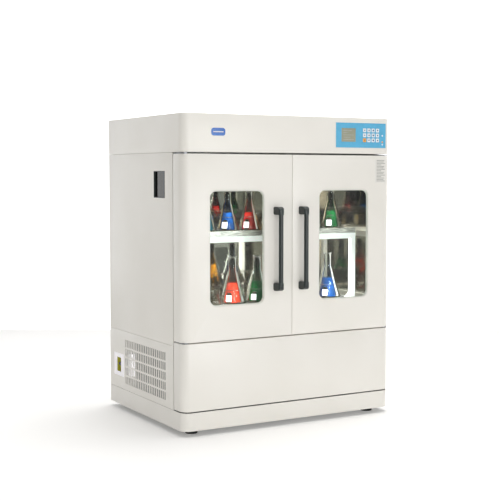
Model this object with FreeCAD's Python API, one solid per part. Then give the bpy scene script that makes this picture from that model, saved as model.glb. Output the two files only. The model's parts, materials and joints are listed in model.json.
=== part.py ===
import FreeCAD, Part
import math
import os

os.makedirs("parts", exist_ok=True)

# Two-door shaking incubator: a double-deck orbital shaker in a heated and cooled cabinet.
# Millimetres, +Z up, the doors face -Y. The origin is under the middle of the whole box, at the floor.

# ---- overall sizes -------------------------------------------------------------------------
BODY_WIDTH = 1120.0
BODY_DEPTH = 815.0
BODY_HEIGHT = 1420.0
HANDLE_REACH = 56.0
FOOT_CLEARANCE = 25.0

HALF_WIDTH = BODY_WIDTH / 2
FRONT_Y = -(BODY_DEPTH - HANDLE_REACH) / 2
BACK_Y = FRONT_Y + BODY_DEPTH

# ---- casing --------------------------------------------------------------------------------
SHEET = 1.5
CORNER_RADIUS = 42.0
PLINTH_HEIGHT = 81.0
PLINTH_GAP = 5.0
LOWER_PANEL_HEIGHT = 301.0
DOOR_FOOT_GAP = 5.5
CAP_GAP = 8.0
CAP_HEIGHT = 168.5
DOOR_DEPTH = 90.0
DOOR_SEAL_GAP = 7.0
DOOR_SPLIT_GAP = 2.6
SIDE_SEAM = 1.0
SIDE_SEAM_HEIGHT = 394.0
SIDE_FOLD = 14.0
REAR_RECESS = 3.0

PLINTH_TOP = FOOT_CLEARANCE + PLINTH_HEIGHT
LOWER_PANEL_Z = PLINTH_TOP + PLINTH_GAP
LOWER_PANEL_TOP = LOWER_PANEL_Z + LOWER_PANEL_HEIGHT
DOOR_Z = LOWER_PANEL_TOP + DOOR_FOOT_GAP
CAP_Z = BODY_HEIGHT - CAP_HEIGHT
DOOR_TOP = CAP_Z - CAP_GAP
FRAME_Y = FRONT_Y + DOOR_DEPTH + DOOR_SEAL_GAP

# ---- doors ---------------------------------------------------------------------------------
SPLIT_EDGE_DEPTH = 34.0
SPLIT_EDGE_STEP = 12.0
HINGE_INSET_X = 22.0
HINGE_INSET_Y = 25.0
HINGE_PIN_RADIUS = 5.0
HINGE_PIN_LENGTH = 24.0
HINGE_BOSS_LENGTH = 28.0
HINGE_PLATE = 3.5
HINGE_PLATE_WIDTH = 34.0
BUSH_WALL = 4.0
RUNNING_CLEARANCE = 0.05
PART_CLEARANCE = 0.4
WINDOW_SIDE_MARGINS = 284.0
WINDOW_OFFSET = 6.35
WINDOW_SILL = 154.5
WINDOW_HEAD = 161.5
SIGHT_MARGIN_X = 56.0
SIGHT_MARGIN_Z = 16.0
WINDOW_RADIUS = 32.0
WINDOW_SEAL = 5.0
PANE = 4.0
PANE_RECESS = 2.0
DOOR_SEAL_WIDTH = 16.0
DOOR_SEAL_INSET = 26.0
DOOR_SEAL_EDGE = 5.0
PANE_LIP = 3.0
HINGE_GAP_BELOW = 1.0
HINGE_GAP_ABOVE = 1.5
HINGE_CORNER = 12.0

WINDOW_WIDTH = HALF_WIDTH - WINDOW_SIDE_MARGINS
WINDOW_CENTRE_X = (DOOR_SPLIT_GAP / 2 + HALF_WIDTH) / 2 + WINDOW_OFFSET

# ---- handles -------------------------------------------------------------------------------
LEFT_HANDLE_X = -87.0
RIGHT_HANDLE_X = 48.0
HANDLE_LENGTH = 381.0
HANDLE_DROP = 13.0
HANDLE_TUBE_RADIUS = 10.5
HANDLE_STANDOFF = 45.0
HANDLE_BLOCK_WIDTH = 26.0
HANDLE_BLOCK_HEIGHT = 36.0
HANDLE_BLOCK_RADIUS = 11.0
HANDLE_ELBOW_RADIUS = 28.0
HANDLE_FOOT_RADIUS = 9.0

HANDLE_Z = (DOOR_Z + DOOR_TOP - HANDLE_LENGTH) / 2 - HANDLE_DROP

# ---- chamber -------------------------------------------------------------------------------
WALL = 52.0
LINER_SHEET = 1.2
FLOOR_RISE = 28.5
CHAMBER_HEADROOM = 30.0
REAR_WALL = 64.0
FRAME_BAR = 42.0
DUCT_DEPTH = 62.0
DUCT_SIDE_GAP = 12.0
SIDE_WINDOW_WIDTH = 118.0
SIDE_WINDOW_HEIGHT = 121.0
SIDE_WINDOW_SET_BACK = 232.5
SIDE_WINDOW_DROP = 112.5
SIDE_WINDOW_WALL = 3.0
SIDE_WINDOW_RECESS = 9.0
LAMP_RADIUS = 13.0
LAMP_END_GAP = 198.0
LAMP_HOLDER = 24.0
LAMP_HOLDER_HALF = 15.0
LAMP_DROP = 14.0
LAMP_SET_BACK = 18.0
DUCT_SLOT_WIDTH = 26.0
DUCT_SLOT_HEIGHT = 8.0
DUCT_SLOT_PITCH_X = 40.0
DUCT_SLOT_PITCH_Z = 18.0
DUCT_SLOT_RISE = 30.0
FAN_MOUTH_GAP = 6.0
GUARD_DEPTH = 3.0
GUARD_WIRE = 1.5
FRAME_SHEET = 3.0
SILL_DROP = 14.0
FOOT_RAIL_RISE = 20.0

CHAMBER_HALF = HALF_WIDTH - WALL
CHAMBER_FLOOR = DOOR_Z + FLOOR_RISE
CHAMBER_TOP = CAP_Z - CHAMBER_HEADROOM
CHAMBER_BACK = BACK_Y - REAR_WALL
CHAMBER_FRONT = FRAME_Y + FRAME_BAR
DUCT_Y = CHAMBER_BACK - DUCT_DEPTH
SIDE_WINDOW_Y = FRONT_Y + SIDE_WINDOW_SET_BACK
SIDE_WINDOW_Z = CHAMBER_TOP - SIDE_WINDOW_DROP
LAMP_LENGTH = 2 * (CHAMBER_HALF - LAMP_END_GAP)

# ---- shaking drive -------------------------------------------------------------------------
ORBIT_RADIUS = 13.0
PLATFORM_SIDE_GAP = 50.0
PLATFORM_FRONT_GAP = 6.5
PLATFORM_BACK_GAP = 67.5
CRANK_BEHIND_MIDDLE = 122.0
SUPPORT_BEFORE_MIDDLE = 138.0
SUPPORT_INSET = 155.0
SHAFT_RADIUS = 14.0
PIN_RADIUS = 12.0
PIN_LENGTH = 44.0
OPEN_PIVOT_CLEARANCE = 0.3
CRANK_DISC_RADIUS = 62.0
CRANK_DISC = 12.0
SUPPORT_DISC_RADIUS = 44.0
HOUSING_RADIUS = 42.0
HOUSING_FLANGE_RADIUS = 60.0
HOUSING_FLANGE = 10.0
HOUSING_RISE = 6.0
BED_THICKNESS = 8.0
BED_DROP = 38.0
BED_SIDE_GAP = 68.0
BED_FRONT_GAP = 8.5
BED_BEHIND_CRANK = 130.0
BED_HOLE_GAP = 6.0
RAIL_HEIGHT = 50.0
RAIL_WIDTH = 40.0
CRANK_PULLEY_RADIUS = 95.0
MOTOR_PULLEY_RADIUS = 32.0
PULLEY_FLANGE = 4.0
PULLEY_WIDTH = 18.0
BELT_THICKNESS = 4.0
BELT_WIDTH = 16.0
BELT_CLEARANCE = 0.4
MOTOR_INSET = 170.0
MOTOR_RADIUS = 64.0
MOTOR_HEIGHT = 185.0
MOTOR_SHAFT_RADIUS = 10.0
MOTOR_DROP = 56.0
MOTOR_FLANGE = 10.0
MOTOR_POST_RADIUS = 6.0
MOTOR_POST_REACH = 67.0
MOTOR_POST_INSET = 9.0
BELT_POST_GAP = 8.0
MOTOR_RIBS = 24
MOTOR_RIB_REACH = 7.0
MOTOR_RIB_HALF = 1.5
MOTOR_RIB_ROOT = 2.0
MOTOR_SHAFT_DEPTH = 30.0
DISC_GAP = 4.0
PULLEY_GAP = 8.0
FLANGE_RIM = 3.0
WEIGHT_HEIGHT = 14.0
WEIGHT_GAP = 3.0
SHAFT_END = 6.0
SUPPORT_SHAFT_DROP = 2.0

# The platform stands at the back of its orbit when the object is at rest.
PLATFORM_HALF = CHAMBER_HALF - ORBIT_RADIUS - PLATFORM_SIDE_GAP
PLATFORM_FRONT = FRAME_Y + 2 * ORBIT_RADIUS + PLATFORM_FRONT_GAP
PLATFORM_BACK = DUCT_Y - PLATFORM_BACK_GAP
PLATFORM_MIDDLE = (PLATFORM_FRONT + PLATFORM_BACK) / 2
CRANK_Y = PLATFORM_MIDDLE + CRANK_BEHIND_MIDDLE
SUPPORT_X = PLATFORM_HALF - SUPPORT_INSET
SUPPORT_Y = PLATFORM_MIDDLE - SUPPORT_BEFORE_MIDDLE
BED_HALF_WIDTH = CHAMBER_HALF - BED_SIDE_GAP
MOTOR_X = BED_HALF_WIDTH - MOTOR_INSET
BED_TOP = CHAMBER_FLOOR - BED_DROP
BED_BOTTOM = BED_TOP - BED_THICKNESS
CRANK_DISC_Z = CHAMBER_FLOOR + HOUSING_RISE + DISC_GAP
PIN_BASE = CRANK_DISC_Z + CRANK_DISC
PULLEY_TOP = BED_BOTTOM - PULLEY_GAP
PULLEY_BOTTOM = PULLEY_TOP - PULLEY_WIDTH - 2 * PULLEY_FLANGE
MOTOR_TOP = BED_BOTTOM - MOTOR_DROP

# ---- shaking platform ----------------------------------------------------------------------
LOWER_DECK_RISE = 110.0
UPPER_DECK_SHARE = 0.5094
DECK_SHEET = 3.0
DECK_LIP = 24.0
POST = 24.0
BAR_WALL = 2.5
FRONT_BAR = 27.0
LOWER_BAR = 30.0
GUSSET = 38.0
GUSSET_SHEET = 4.0
GUSSET_INSET = 2.0
BOSS_RADIUS = 30.0
BOSS_GAP = 4.0
CROSS_BAR = 60.0
PIN_END_GAP = 2.0

LOWER_DECK = CHAMBER_FLOOR + LOWER_DECK_RISE
UPPER_DECK = LOWER_DECK + UPPER_DECK_SHARE * (CHAMBER_TOP - LOWER_DECK)
LOWER_BAR_TOP = LOWER_DECK - DECK_SHEET
LOWER_BAR_BASE = LOWER_BAR_TOP - LOWER_BAR

# ---- flask clamps --------------------------------------------------------------------------
LOWER_CLAMP_PITCH = 133.0
LOWER_CLAMP_RADIUS = 64.0
UPPER_CLAMP_PITCH = 115.0
UPPER_CLAMP_RADIUS = 54.0
CLAMP_SIDE_GAP = 28.0
CLAMP_EDGE_GAP = 12.0
CLAMP_SHEET = 1.5
CLAMP_FINGERS = 4
FINGER_WIDTH = 20.0
FINGER_HEIGHT = 52.0
FINGER_LEAN = 17.0

# ---- controls ------------------------------------------------------------------------------
KEYPAD_WIDTH = 287.0
KEYPAD_HEIGHT = 116.0
KEYPAD_INSET = 34.0
KEYPAD_RISE = 28.5
KEYPAD_THICKNESS = 4.0
KEYPAD_PROUD = 1.0
KEY_SIZE = 17.6
KEY_GAP = 0.35
KEY_COLUMNS = 4
KEY_ROWS = 3
KEY_PITCH_X = 25.0
KEY_PITCH_Z = 23.4
KEY_FIRST_X = 163.0
KEY_FIRST_Z = 82.5
KEY_PROUD = 1.4
KEY_FLANGE = 1.6
KEY_FLANGE_LIP = 1.6
KEY_TRAVEL = 0.8
DISPLAY_WIDTH = 81.0
DISPLAY_HEIGHT = 64.0
DISPLAY_LEFT = 31.0
DISPLAY_RISE = 27.0
CONTROL_BOX_DEPTH = 90.0
CONTROL_BOX_INSET = 6.0
CONTROL_BOX_RISE = 8.0
DISPLAY_RECESS = 0.4
KEY_CORNER = 2.4

KEYPAD_LEFT = HALF_WIDTH - KEYPAD_INSET - KEYPAD_WIDTH
KEYPAD_BASE = CAP_Z + KEYPAD_RISE

# ---- services ------------------------------------------------------------------------------
VENT_SET_BACK = 82.5
VENT_RISE = 32.0
VENT_ROWS = 5
VENT_ROW_PITCH = 45.0
VENT_SLOT_HEIGHT = 36.0
VENT_SLOT_WIDTH = 9.0
VENT_SLOT_PITCH = 20.0
BREAKER_WIDTH = 120.0
BREAKER_HEIGHT = 110.0
BREAKER_INSET = 108.5
BREAKER_RISE = 84.0
BREAKER_DEPTH = 62.0
POCKET_WIDTH = 46.0
POCKET_HEIGHT = 70.0
POCKET_DEPTH = 24.0
TOGGLE_DRUM_RADIUS = 9.0
TOGGLE_LEVER = 6.0
TOGGLE_WIDTH = 30.0
TOGGLE_REACH = 12.0
TOGGLE_GAP = 0.6
TOGGLE_REST_ANGLE = 25.0
INLET_INSET = 120.0
INLET_RISE = 67.0
INLET_PROUD = 1.0
INLET_WIDTH = 70.0
INLET_HEIGHT = 54.0
INLET_DEPTH = 50.0
SOCKET_WIDTH = 46.0
SOCKET_HEIGHT = 30.0
SOCKET_DEPTH = 34.0
BLADE_PITCH = 12.0
BLADE_HALF_WIDTH = 1.0
BLADE_HALF_HEIGHT = 4.0
BLADE_LENGTH = 18.0
REAR_SLOT_START = -230.0
REAR_SLOT_RISE = 32.0
REAR_SLOT_HEIGHT = 160.0
REAR_SLOT_REACH = 8.0
CHAMBER_FAN_RADIUS = 66.0
CONDENSER_FAN_RADIUS = 92.0
FAN_HUB_RADIUS = 24.0
FAN_DEPTH = 20.0
FAN_BLADES = 5
FAN_PITCH_ANGLE = 28.0
FAN_MOTOR_RADIUS = 30.0
FAN_DROP = 83.5
FAN_BLADE_HALF = 22.0
FAN_BLADE_ROOT = 4.0
FAN_BLADE_SHEET = 1.6
FAN_BEHIND_DUCT = 14.0
FAN_MOTOR_GAP = 2.0
CONDENSER_FAN_RISE = 108.0
CONDENSER_FAN_DEEP = 92.0
CONDENSER_FAN_SHIFT = 13.5
CONDENSER_MOTOR_LENGTH = 54.0
COIL_DEPTH = 44.0
COIL_SIDE_GAP = 22.0
COIL_HALF_HEIGHT = 118.0
COIL_HALF_LENGTH = 138.0
COIL_FINS = 28
COIL_FIN = 0.8
COIL_TUBES = 6
COIL_TUBE_RADIUS = 5.0
COIL_TUBE_REACH = 10.0
EVAPORATOR_FIN = 1.2
EVAPORATOR_FINS = 37
EVAPORATOR_FIN_PITCH = 20.0
EVAPORATOR_RISE = 114.0
EVAPORATOR_BELOW_FAN = 192.0
EVAPORATOR_FRONT_GAP = 8.0
EVAPORATOR_BACK_GAP = 12.0
COMPRESSOR_FROM_SIDE = 260.0
COMPRESSOR_FROM_BACK = 135.5
COMPRESSOR_RADIUS = 78.0
COMPRESSOR_HEIGHT = 180.0
COMPRESSOR_DOME_RADIUS = 96.0
COMPRESSOR_FOOT = 12.0
COMPRESSOR_PLATE = 6.0
COMPRESSOR_SEAM = 4.0
COMPRESSOR_PLATE_HALF_X = 95.0
COMPRESSOR_PLATE_HALF_Y = 60.0
SCREW_RADIUS = 4.0
SCREW_HEAD = 2.0
SCREW_CROSS = 2.4
SCREW_CROSS_HALF = 0.5
SCREW_CROSS_DEPTH = 0.9
SCREW_EDGE = 30.0
SCREW_SEAM_GAP = 25.0
SCREW_INNER_X = 180.0

VENT_FRONT = FRAME_Y + VENT_SET_BACK
VENT_BASE = PLINTH_TOP + VENT_RISE
BREAKER_Y = BACK_Y - BREAKER_INSET
BREAKER_Z = VENT_BASE + BREAKER_RISE
VENT_LENGTH = BREAKER_Y - BREAKER_WIDTH / 2 - VENT_FRONT
INLET_X = BED_HALF_WIDTH - INLET_INSET
INLET_Z = VENT_BASE + INLET_RISE
FAN_Z = CHAMBER_TOP - FAN_DROP
CONDENSER_FAN_Y = VENT_FRONT + VENT_LENGTH / 2 - CONDENSER_FAN_SHIFT
CONDENSER_FAN_Z = VENT_BASE + CONDENSER_FAN_RISE
COMPRESSOR_X = COMPRESSOR_FROM_SIDE - HALF_WIDTH
COMPRESSOR_Y = BACK_Y - COMPRESSOR_FROM_BACK

# ---- base ----------------------------------------------------------------------------------
PAN_SHEET = 4.0
PAN_HEIGHT = 60.0
FOOT_RADIUS = 28.0
FOOT_PAD = 10.0
FOOT_STUD_RADIUS = 6.0
FOOT_STUD_LENGTH = 62.0
FOOT_INSET_X = 80.0
FOOT_INSET_Y = 80.0
FOOT_BOSS_RADIUS = 18.0
FOOT_BOSS_RISE = 6.0
FOOT_NUT_RADIUS = 10.0
FOOT_NUT_HEIGHT = 6.0
FOOT_EDGE = 2.0
REAR_POST = 38.0
LEG = 30.0
PAN_TOP = PAN_HEIGHT + PAN_SHEET


def box(x0, x1, y0, y1, z0, z1):
    return Part.makeBox(x1 - x0, y1 - y0, z1 - z0, FreeCAD.Vector(x0, y0, z0))


def rod(x, y, z0, z1, radius):
    return Part.makeCylinder(radius, z1 - z0, FreeCAD.Vector(x, y, z0))


def rod_along_x(x0, x1, y, z, radius):
    return Part.makeCylinder(radius, x1 - x0, FreeCAD.Vector(x0, y, z), FreeCAD.Vector(1, 0, 0))


def rod_along_y(y0, y1, x, z, radius):
    return Part.makeCylinder(radius, y1 - y0, FreeCAD.Vector(x, y0, z), FreeCAD.Vector(0, 1, 0))


def tube_box(x0, x1, y0, y1, z0, z1, along, wall):
    """A rectangular tube, open at both ends; along is the axis it runs on, "x", "y" or "z"."""
    gap = {axis: (-1.0 if axis == along else wall) for axis in "xyz"}
    hollow = box(x0 + gap["x"], x1 - gap["x"], y0 + gap["y"], y1 - gap["y"], z0 + gap["z"], z1 - gap["z"])
    return box(x0, x1, y0, y1, z0, z1).cut(hollow)


def pipe(x, y, z0, z1, outer, inner):
    return rod(x, y, z0, z1, outer).cut(rod(x, y, z0 - 1, z1 + 1, inner))


def upright_edges(shape, places):
    """The vertical edges of a shape that stand at the given x, y places."""
    found = []
    for edge in shape.Edges:
        ends = [vertex.Point for vertex in edge.Vertexes]
        if len(ends) != 2 or abs(ends[0].x - ends[1].x) > 0.01 or abs(ends[0].y - ends[1].y) > 0.01:
            continue
        for x, y in places:
            if abs(ends[0].x - x) < 0.01 and abs(ends[0].y - y) < 0.01:
                found.append(edge)
    return found


def rounded_block(x0, x1, y0, y1, z0, z1, radius, corners):
    """A box whose vertical edges are rounded; corners holds x, y places of the rounded ones."""
    block = box(x0, x1, y0, y1, z0, z1)
    return block.makeFillet(radius, upright_edges(block, corners))


def front_block(x0, x1, y0, y1, z0, z1, radius, left=True, right=True):
    corners = []
    if left:
        corners.append((x0, y0))
    if right:
        corners.append((x1, y0))
    return rounded_block(x0, x1, y0, y1, z0, z1, radius, corners)


def window_block(x0, x1, z0, z1, y0, y1, radius):
    """A rounded rectangle in the XZ plane, y0 to y1 deep."""
    block = box(x0, x1, y0, y1, z0, z1)
    along_y = [edge for edge in block.Edges
               if abs(edge.Vertexes[0].Point.x - edge.Vertexes[1].Point.x) < 0.01
               and abs(edge.Vertexes[0].Point.z - edge.Vertexes[1].Point.z) < 0.01]
    return block.makeFillet(radius, along_y)


def fuse(shapes):
    joined = shapes[0]
    for shape in shapes[1:]:
        joined = joined.fuse(shape)
    return joined.removeSplitter()


def cut_all(shape, tools):
    return shape.cut(Part.makeCompound(tools))


def mirror_for(side, shape):
    """Paired pieces are drawn on the right and mirrored for the left; side is -1 for left and 1 for right."""
    if side > 0:
        return shape
    return shape.mirror(FreeCAD.Vector(0, 0, 0), FreeCAD.Vector(1, 0, 0))


def save(name, solids):
    """Write one node. Several solids stay separate inside it."""
    if len(solids) == 1:
        solids[0].exportStep("parts/" + name + ".step")
    else:
        Part.makeCompound(solids).exportStep("parts/" + name + ".step")


# ---- casing --------------------------------------------------------------------------------
def make_plinth():
    outer = front_block(-HALF_WIDTH, HALF_WIDTH, FRONT_Y, BACK_Y, FOOT_CLEARANCE, PLINTH_TOP, CORNER_RADIUS)
    inner = front_block(-HALF_WIDTH + SHEET, HALF_WIDTH - SHEET, FRONT_Y + SHEET, BACK_Y - SHEET,
                        FOOT_CLEARANCE - 1, PLINTH_TOP + 1, CORNER_RADIUS - SHEET)
    save("plinth", [outer.cut(inner)])


def make_lower_front_panel():
    outer = front_block(-HALF_WIDTH, HALF_WIDTH, FRONT_Y, FRONT_Y + DOOR_DEPTH, LOWER_PANEL_Z,
                        LOWER_PANEL_TOP, CORNER_RADIUS)
    inner = front_block(-HALF_WIDTH + SHEET, HALF_WIDTH - SHEET, FRONT_Y + SHEET, FRAME_Y,
                        LOWER_PANEL_Z + SHEET, LOWER_PANEL_TOP - SHEET, CORNER_RADIUS - SHEET)
    save("lower_front_panel", [outer.cut(inner)])


def make_top_cap():
    outer = front_block(-HALF_WIDTH, HALF_WIDTH, FRONT_Y, BACK_Y, CAP_Z, BODY_HEIGHT, CORNER_RADIUS)
    inner = front_block(-HALF_WIDTH + SHEET, HALF_WIDTH - SHEET, FRONT_Y + SHEET, BACK_Y - SHEET, CAP_Z - 1,
                        BODY_HEIGHT - SHEET, CORNER_RADIUS - SHEET)
    opening = box(KEYPAD_LEFT, KEYPAD_LEFT + KEYPAD_WIDTH, FRONT_Y - 1, FRONT_Y + SHEET + 1, KEYPAD_BASE,
                  KEYPAD_BASE + KEYPAD_HEIGHT)
    save("top_cap", [outer.cut(inner).cut(opening)])


def side_sheet(side, z0, z1):
    """One flat side panel with its edges folded inwards; side is -1 for left and 1 for right."""
    outer_x = side * HALF_WIDTH
    inner_x = side * (HALF_WIDTH - SIDE_FOLD)
    skin_x = side * (HALF_WIDTH - SHEET)
    panel = box(min(outer_x, inner_x), max(outer_x, inner_x), FRAME_Y, BACK_Y, z0, z1)
    hollow = box(min(skin_x, inner_x - side), max(skin_x, inner_x - side), FRAME_Y + SHEET,
                 BACK_Y - SHEET, z0 + SHEET, z1 - SHEET)
    return panel.cut(hollow)


def louvre_slots(x0, x1):
    slots = []
    columns = int(VENT_LENGTH / VENT_SLOT_PITCH)
    for row in range(VENT_ROWS):
        z = VENT_BASE + row * VENT_ROW_PITCH
        for column in range(columns):
            y = VENT_FRONT + column * VENT_SLOT_PITCH
            slots.append(box(x0, x1, y, y + VENT_SLOT_WIDTH, z, z + VENT_SLOT_HEIGHT))
    return slots


def side_window_cut(grow, x0, x1):
    half_y = SIDE_WINDOW_WIDTH / 2 + grow
    half_z = SIDE_WINDOW_HEIGHT / 2 + grow
    return box(x0, x1, SIDE_WINDOW_Y - half_y, SIDE_WINDOW_Y + half_y,
               SIDE_WINDOW_Z - half_z, SIDE_WINDOW_Z + half_z)


def breaker_block(x0, x1, width, height):
    """A block about the breaker's middle on the left side."""
    half_y = width / 2
    half_z = height / 2
    return box(x0, x1, BREAKER_Y - half_y, BREAKER_Y + half_y, BREAKER_Z - half_z, BREAKER_Z + half_z)


def make_side_panels():
    seam_low = SIDE_SEAM_HEIGHT - SIDE_SEAM / 2
    seam_high = SIDE_SEAM_HEIGHT + SIDE_SEAM / 2
    low = (PLINTH_TOP + SIDE_SEAM, seam_low)
    high = (seam_high, CAP_Z - SIDE_SEAM)
    hole_end = -HALF_WIDTH + SHEET + 1
    left_low = cut_all(side_sheet(-1, *low), louvre_slots(-HALF_WIDTH - 1, hole_end))
    left_low = left_low.cut(breaker_block(-HALF_WIDTH - 1, hole_end, BREAKER_WIDTH, BREAKER_HEIGHT))
    left_high = side_sheet(-1, *high).cut(side_window_cut(0, -HALF_WIDTH - 1, hole_end))
    save("side_panels", [left_low, left_high, side_sheet(1, *low), side_sheet(1, *high)])


def rear_slots():
    slots = []
    z = VENT_BASE + REAR_SLOT_RISE
    columns = int((INLET_X - INLET_WIDTH - REAR_SLOT_START) / VENT_SLOT_PITCH)
    for column in range(columns):
        x = REAR_SLOT_START + column * VENT_SLOT_PITCH
        slots.append(box(x, x + VENT_SLOT_WIDTH, BACK_Y - REAR_SLOT_REACH, BACK_Y, z, z + REAR_SLOT_HEIGHT))
    return slots


def make_rear_panels():
    y1 = BACK_Y - REAR_RECESS
    y0 = y1 - SHEET
    half = HALF_WIDTH - SIDE_FOLD - PART_CLEARANCE
    lower = box(-half, half, y0, y1, PLINTH_TOP + SIDE_SEAM, SIDE_SEAM_HEIGHT - SIDE_SEAM / 2)
    lower = cut_all(lower, rear_slots())
    lower = lower.cut(inlet_block())
    upper = box(-half, half, y0, y1, SIDE_SEAM_HEIGHT + SIDE_SEAM / 2, CAP_Z - SIDE_SEAM)
    save("rear_panels", [lower, upper])


def inlet_block():
    return box(INLET_X - INLET_WIDTH / 2, INLET_X + INLET_WIDTH / 2, BACK_Y - INLET_DEPTH,
               BACK_Y - REAR_RECESS + INLET_PROUD, INLET_Z - INLET_HEIGHT / 2, INLET_Z + INLET_HEIGHT / 2)


def mains_inlet():
    """A recessed three-pin appliance inlet in the lower rear panel: four walls, a back and three pins."""
    x0 = INLET_X - INLET_WIDTH / 2
    x1 = INLET_X + INLET_WIDTH / 2
    z0 = INLET_Z - INLET_HEIGHT / 2
    z1 = INLET_Z + INLET_HEIGHT / 2
    socket_x0 = INLET_X - SOCKET_WIDTH / 2
    socket_x1 = INLET_X + SOCKET_WIDTH / 2
    socket_z0 = INLET_Z - SOCKET_HEIGHT / 2
    socket_z1 = INLET_Z + SOCKET_HEIGHT / 2
    deep_y = BACK_Y - SOCKET_DEPTH
    mouth_y = BACK_Y - REAR_RECESS + INLET_PROUD
    solids = [
        box(x0, x1, BACK_Y - INLET_DEPTH, deep_y, z0, z1),
        box(x0, socket_x0, deep_y, mouth_y, z0, z1),
        box(socket_x1, x1, deep_y, mouth_y, z0, z1),
        box(socket_x0, socket_x1, deep_y, mouth_y, z0, socket_z0),
        box(socket_x0, socket_x1, deep_y, mouth_y, socket_z1, z1),
    ]
    for x in (INLET_X - BLADE_PITCH, INLET_X, INLET_X + BLADE_PITCH):
        solids.append(box(x - BLADE_HALF_WIDTH, x + BLADE_HALF_WIDTH, deep_y, deep_y + BLADE_LENGTH,
                          INLET_Z - BLADE_HALF_HEIGHT, INLET_Z + BLADE_HALF_HEIGHT))
    return solids


def screw_places():
    half = HALF_WIDTH - SCREW_EDGE
    top = CAP_Z - SCREW_EDGE
    below_seam = SIDE_SEAM_HEIGHT - SCREW_SEAM_GAP
    above_seam = SIDE_SEAM_HEIGHT + SCREW_SEAM_GAP
    places = []
    for z in (PLINTH_TOP + SCREW_SEAM_GAP, below_seam, above_seam, (above_seam + top) / 2, top):
        places += [(-half, z), (half, z)]
    for z in (below_seam, above_seam, top):
        places += [(-SCREW_INNER_X, z), (SCREW_INNER_X, z)]
    return places


def make_panel_screws():
    """Domed cross-head screws that hold the rear panels, standing no further back than the casing."""
    head_y = BACK_Y - REAR_RECESS
    screws = []
    for x, z in screw_places():
        head = rod_along_y(head_y, head_y + SCREW_HEAD, x, z, SCREW_RADIUS)
        for half_x, half_z in ((SCREW_CROSS, SCREW_CROSS_HALF), (SCREW_CROSS_HALF, SCREW_CROSS)):
            head = head.cut(box(x - half_x, x + half_x, head_y + SCREW_HEAD - SCREW_CROSS_DEPTH,
                                head_y + SCREW_HEAD + 1, z - half_z, z + half_z))
        screws.append(head)
    save("panel_screws", screws)


# ---- frame ---------------------------------------------------------------------------------
def foot_places():
    x = HALF_WIDTH - FOOT_INSET_X
    return {
        "front_left": (-x, FRONT_Y + FOOT_INSET_Y),
        "front_right": (x, FRONT_Y + FOOT_INSET_Y),
        "rear_left": (-x, BACK_Y - FOOT_INSET_Y),
        "rear_right": (x, BACK_Y - FOOT_INSET_Y),
    }


def base_pan():
    """The floor pan of the machine bay, with a threaded boss for each levelling foot."""
    gap = SHEET + PART_CLEARANCE
    half = HALF_WIDTH - gap
    pan = front_block(-half, half, FRONT_Y + gap, BACK_Y - gap, PAN_HEIGHT, PAN_TOP, CORNER_RADIUS - gap)
    stud_hole = FOOT_STUD_RADIUS + RUNNING_CLEARANCE
    for x, y in foot_places().values():
        boss = rod(x, y, FOOT_CLEARANCE + FOOT_BOSS_RISE, PAN_TOP, FOOT_BOSS_RADIUS)
        pan = pan.fuse(boss).cut(rod(x, y, FOOT_CLEARANCE, PAN_TOP + 1, stud_hole))
    return pan


def make_base_frame():
    """The pan, two rear posts, and a rail with its rear leg under each end of the drive bed."""
    solids = [base_pan()]
    outside = HALF_WIDTH - SIDE_FOLD - PART_CLEARANCE
    back = BACK_Y - REAR_RECESS - SHEET - PART_CLEARANCE
    rail_base = BED_BOTTOM - RAIL_HEIGHT
    leg_x = BED_HALF_WIDTH - RAIL_WIDTH / 2
    post_y = back - REAR_POST
    post_top = CAP_Z - SIDE_SEAM
    right = [
        tube_box(outside - REAR_POST, outside, post_y, back, PAN_TOP, post_top, "z", FRAME_SHEET),
        tube_box(BED_HALF_WIDTH - RAIL_WIDTH, BED_HALF_WIDTH, CHAMBER_FRONT, back, rail_base, BED_BOTTOM, "y",
                 FRAME_SHEET),
        tube_box(leg_x - LEG / 2, leg_x + LEG / 2, post_y, post_y + LEG, PAN_TOP, rail_base, "z",
                 FRAME_SHEET),
    ]
    for side in (-1, 1):
        solids += [mirror_for(side, shape) for shape in right]
    save("base_frame", solids + [drive_bed()])


def drive_places():
    return [(0.0, CRANK_Y), (-SUPPORT_X, SUPPORT_Y), (SUPPORT_X, SUPPORT_Y)]


def drive_bed():
    """The thick plate that carries the bearings and the motor."""
    bed = box(-BED_HALF_WIDTH, BED_HALF_WIDTH, CHAMBER_FRONT + BED_FRONT_GAP, CRANK_Y + BED_BEHIND_CRANK,
              BED_BOTTOM, BED_TOP)
    holes = [rod(x, y, BED_BOTTOM - 1, BED_TOP + 1, SHAFT_RADIUS + BED_HOLE_GAP) for x, y in drive_places()]
    return cut_all(bed, holes)


def make_bearing_housings():
    housings = []
    for x, y in drive_places():
        tower = rod(x, y, BED_TOP, CHAMBER_FLOOR + HOUSING_RISE, HOUSING_RADIUS)
        flange = rod(x, y, BED_TOP, BED_TOP + HOUSING_FLANGE, HOUSING_FLANGE_RADIUS)
        bore = rod(x, y, BED_TOP - 1, CHAMBER_FLOOR + HOUSING_RISE + 1, SHAFT_RADIUS + RUNNING_CLEARANCE)
        housings.append(fuse([tower, flange]).cut(bore))
    save("bearing_housings", housings)


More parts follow.
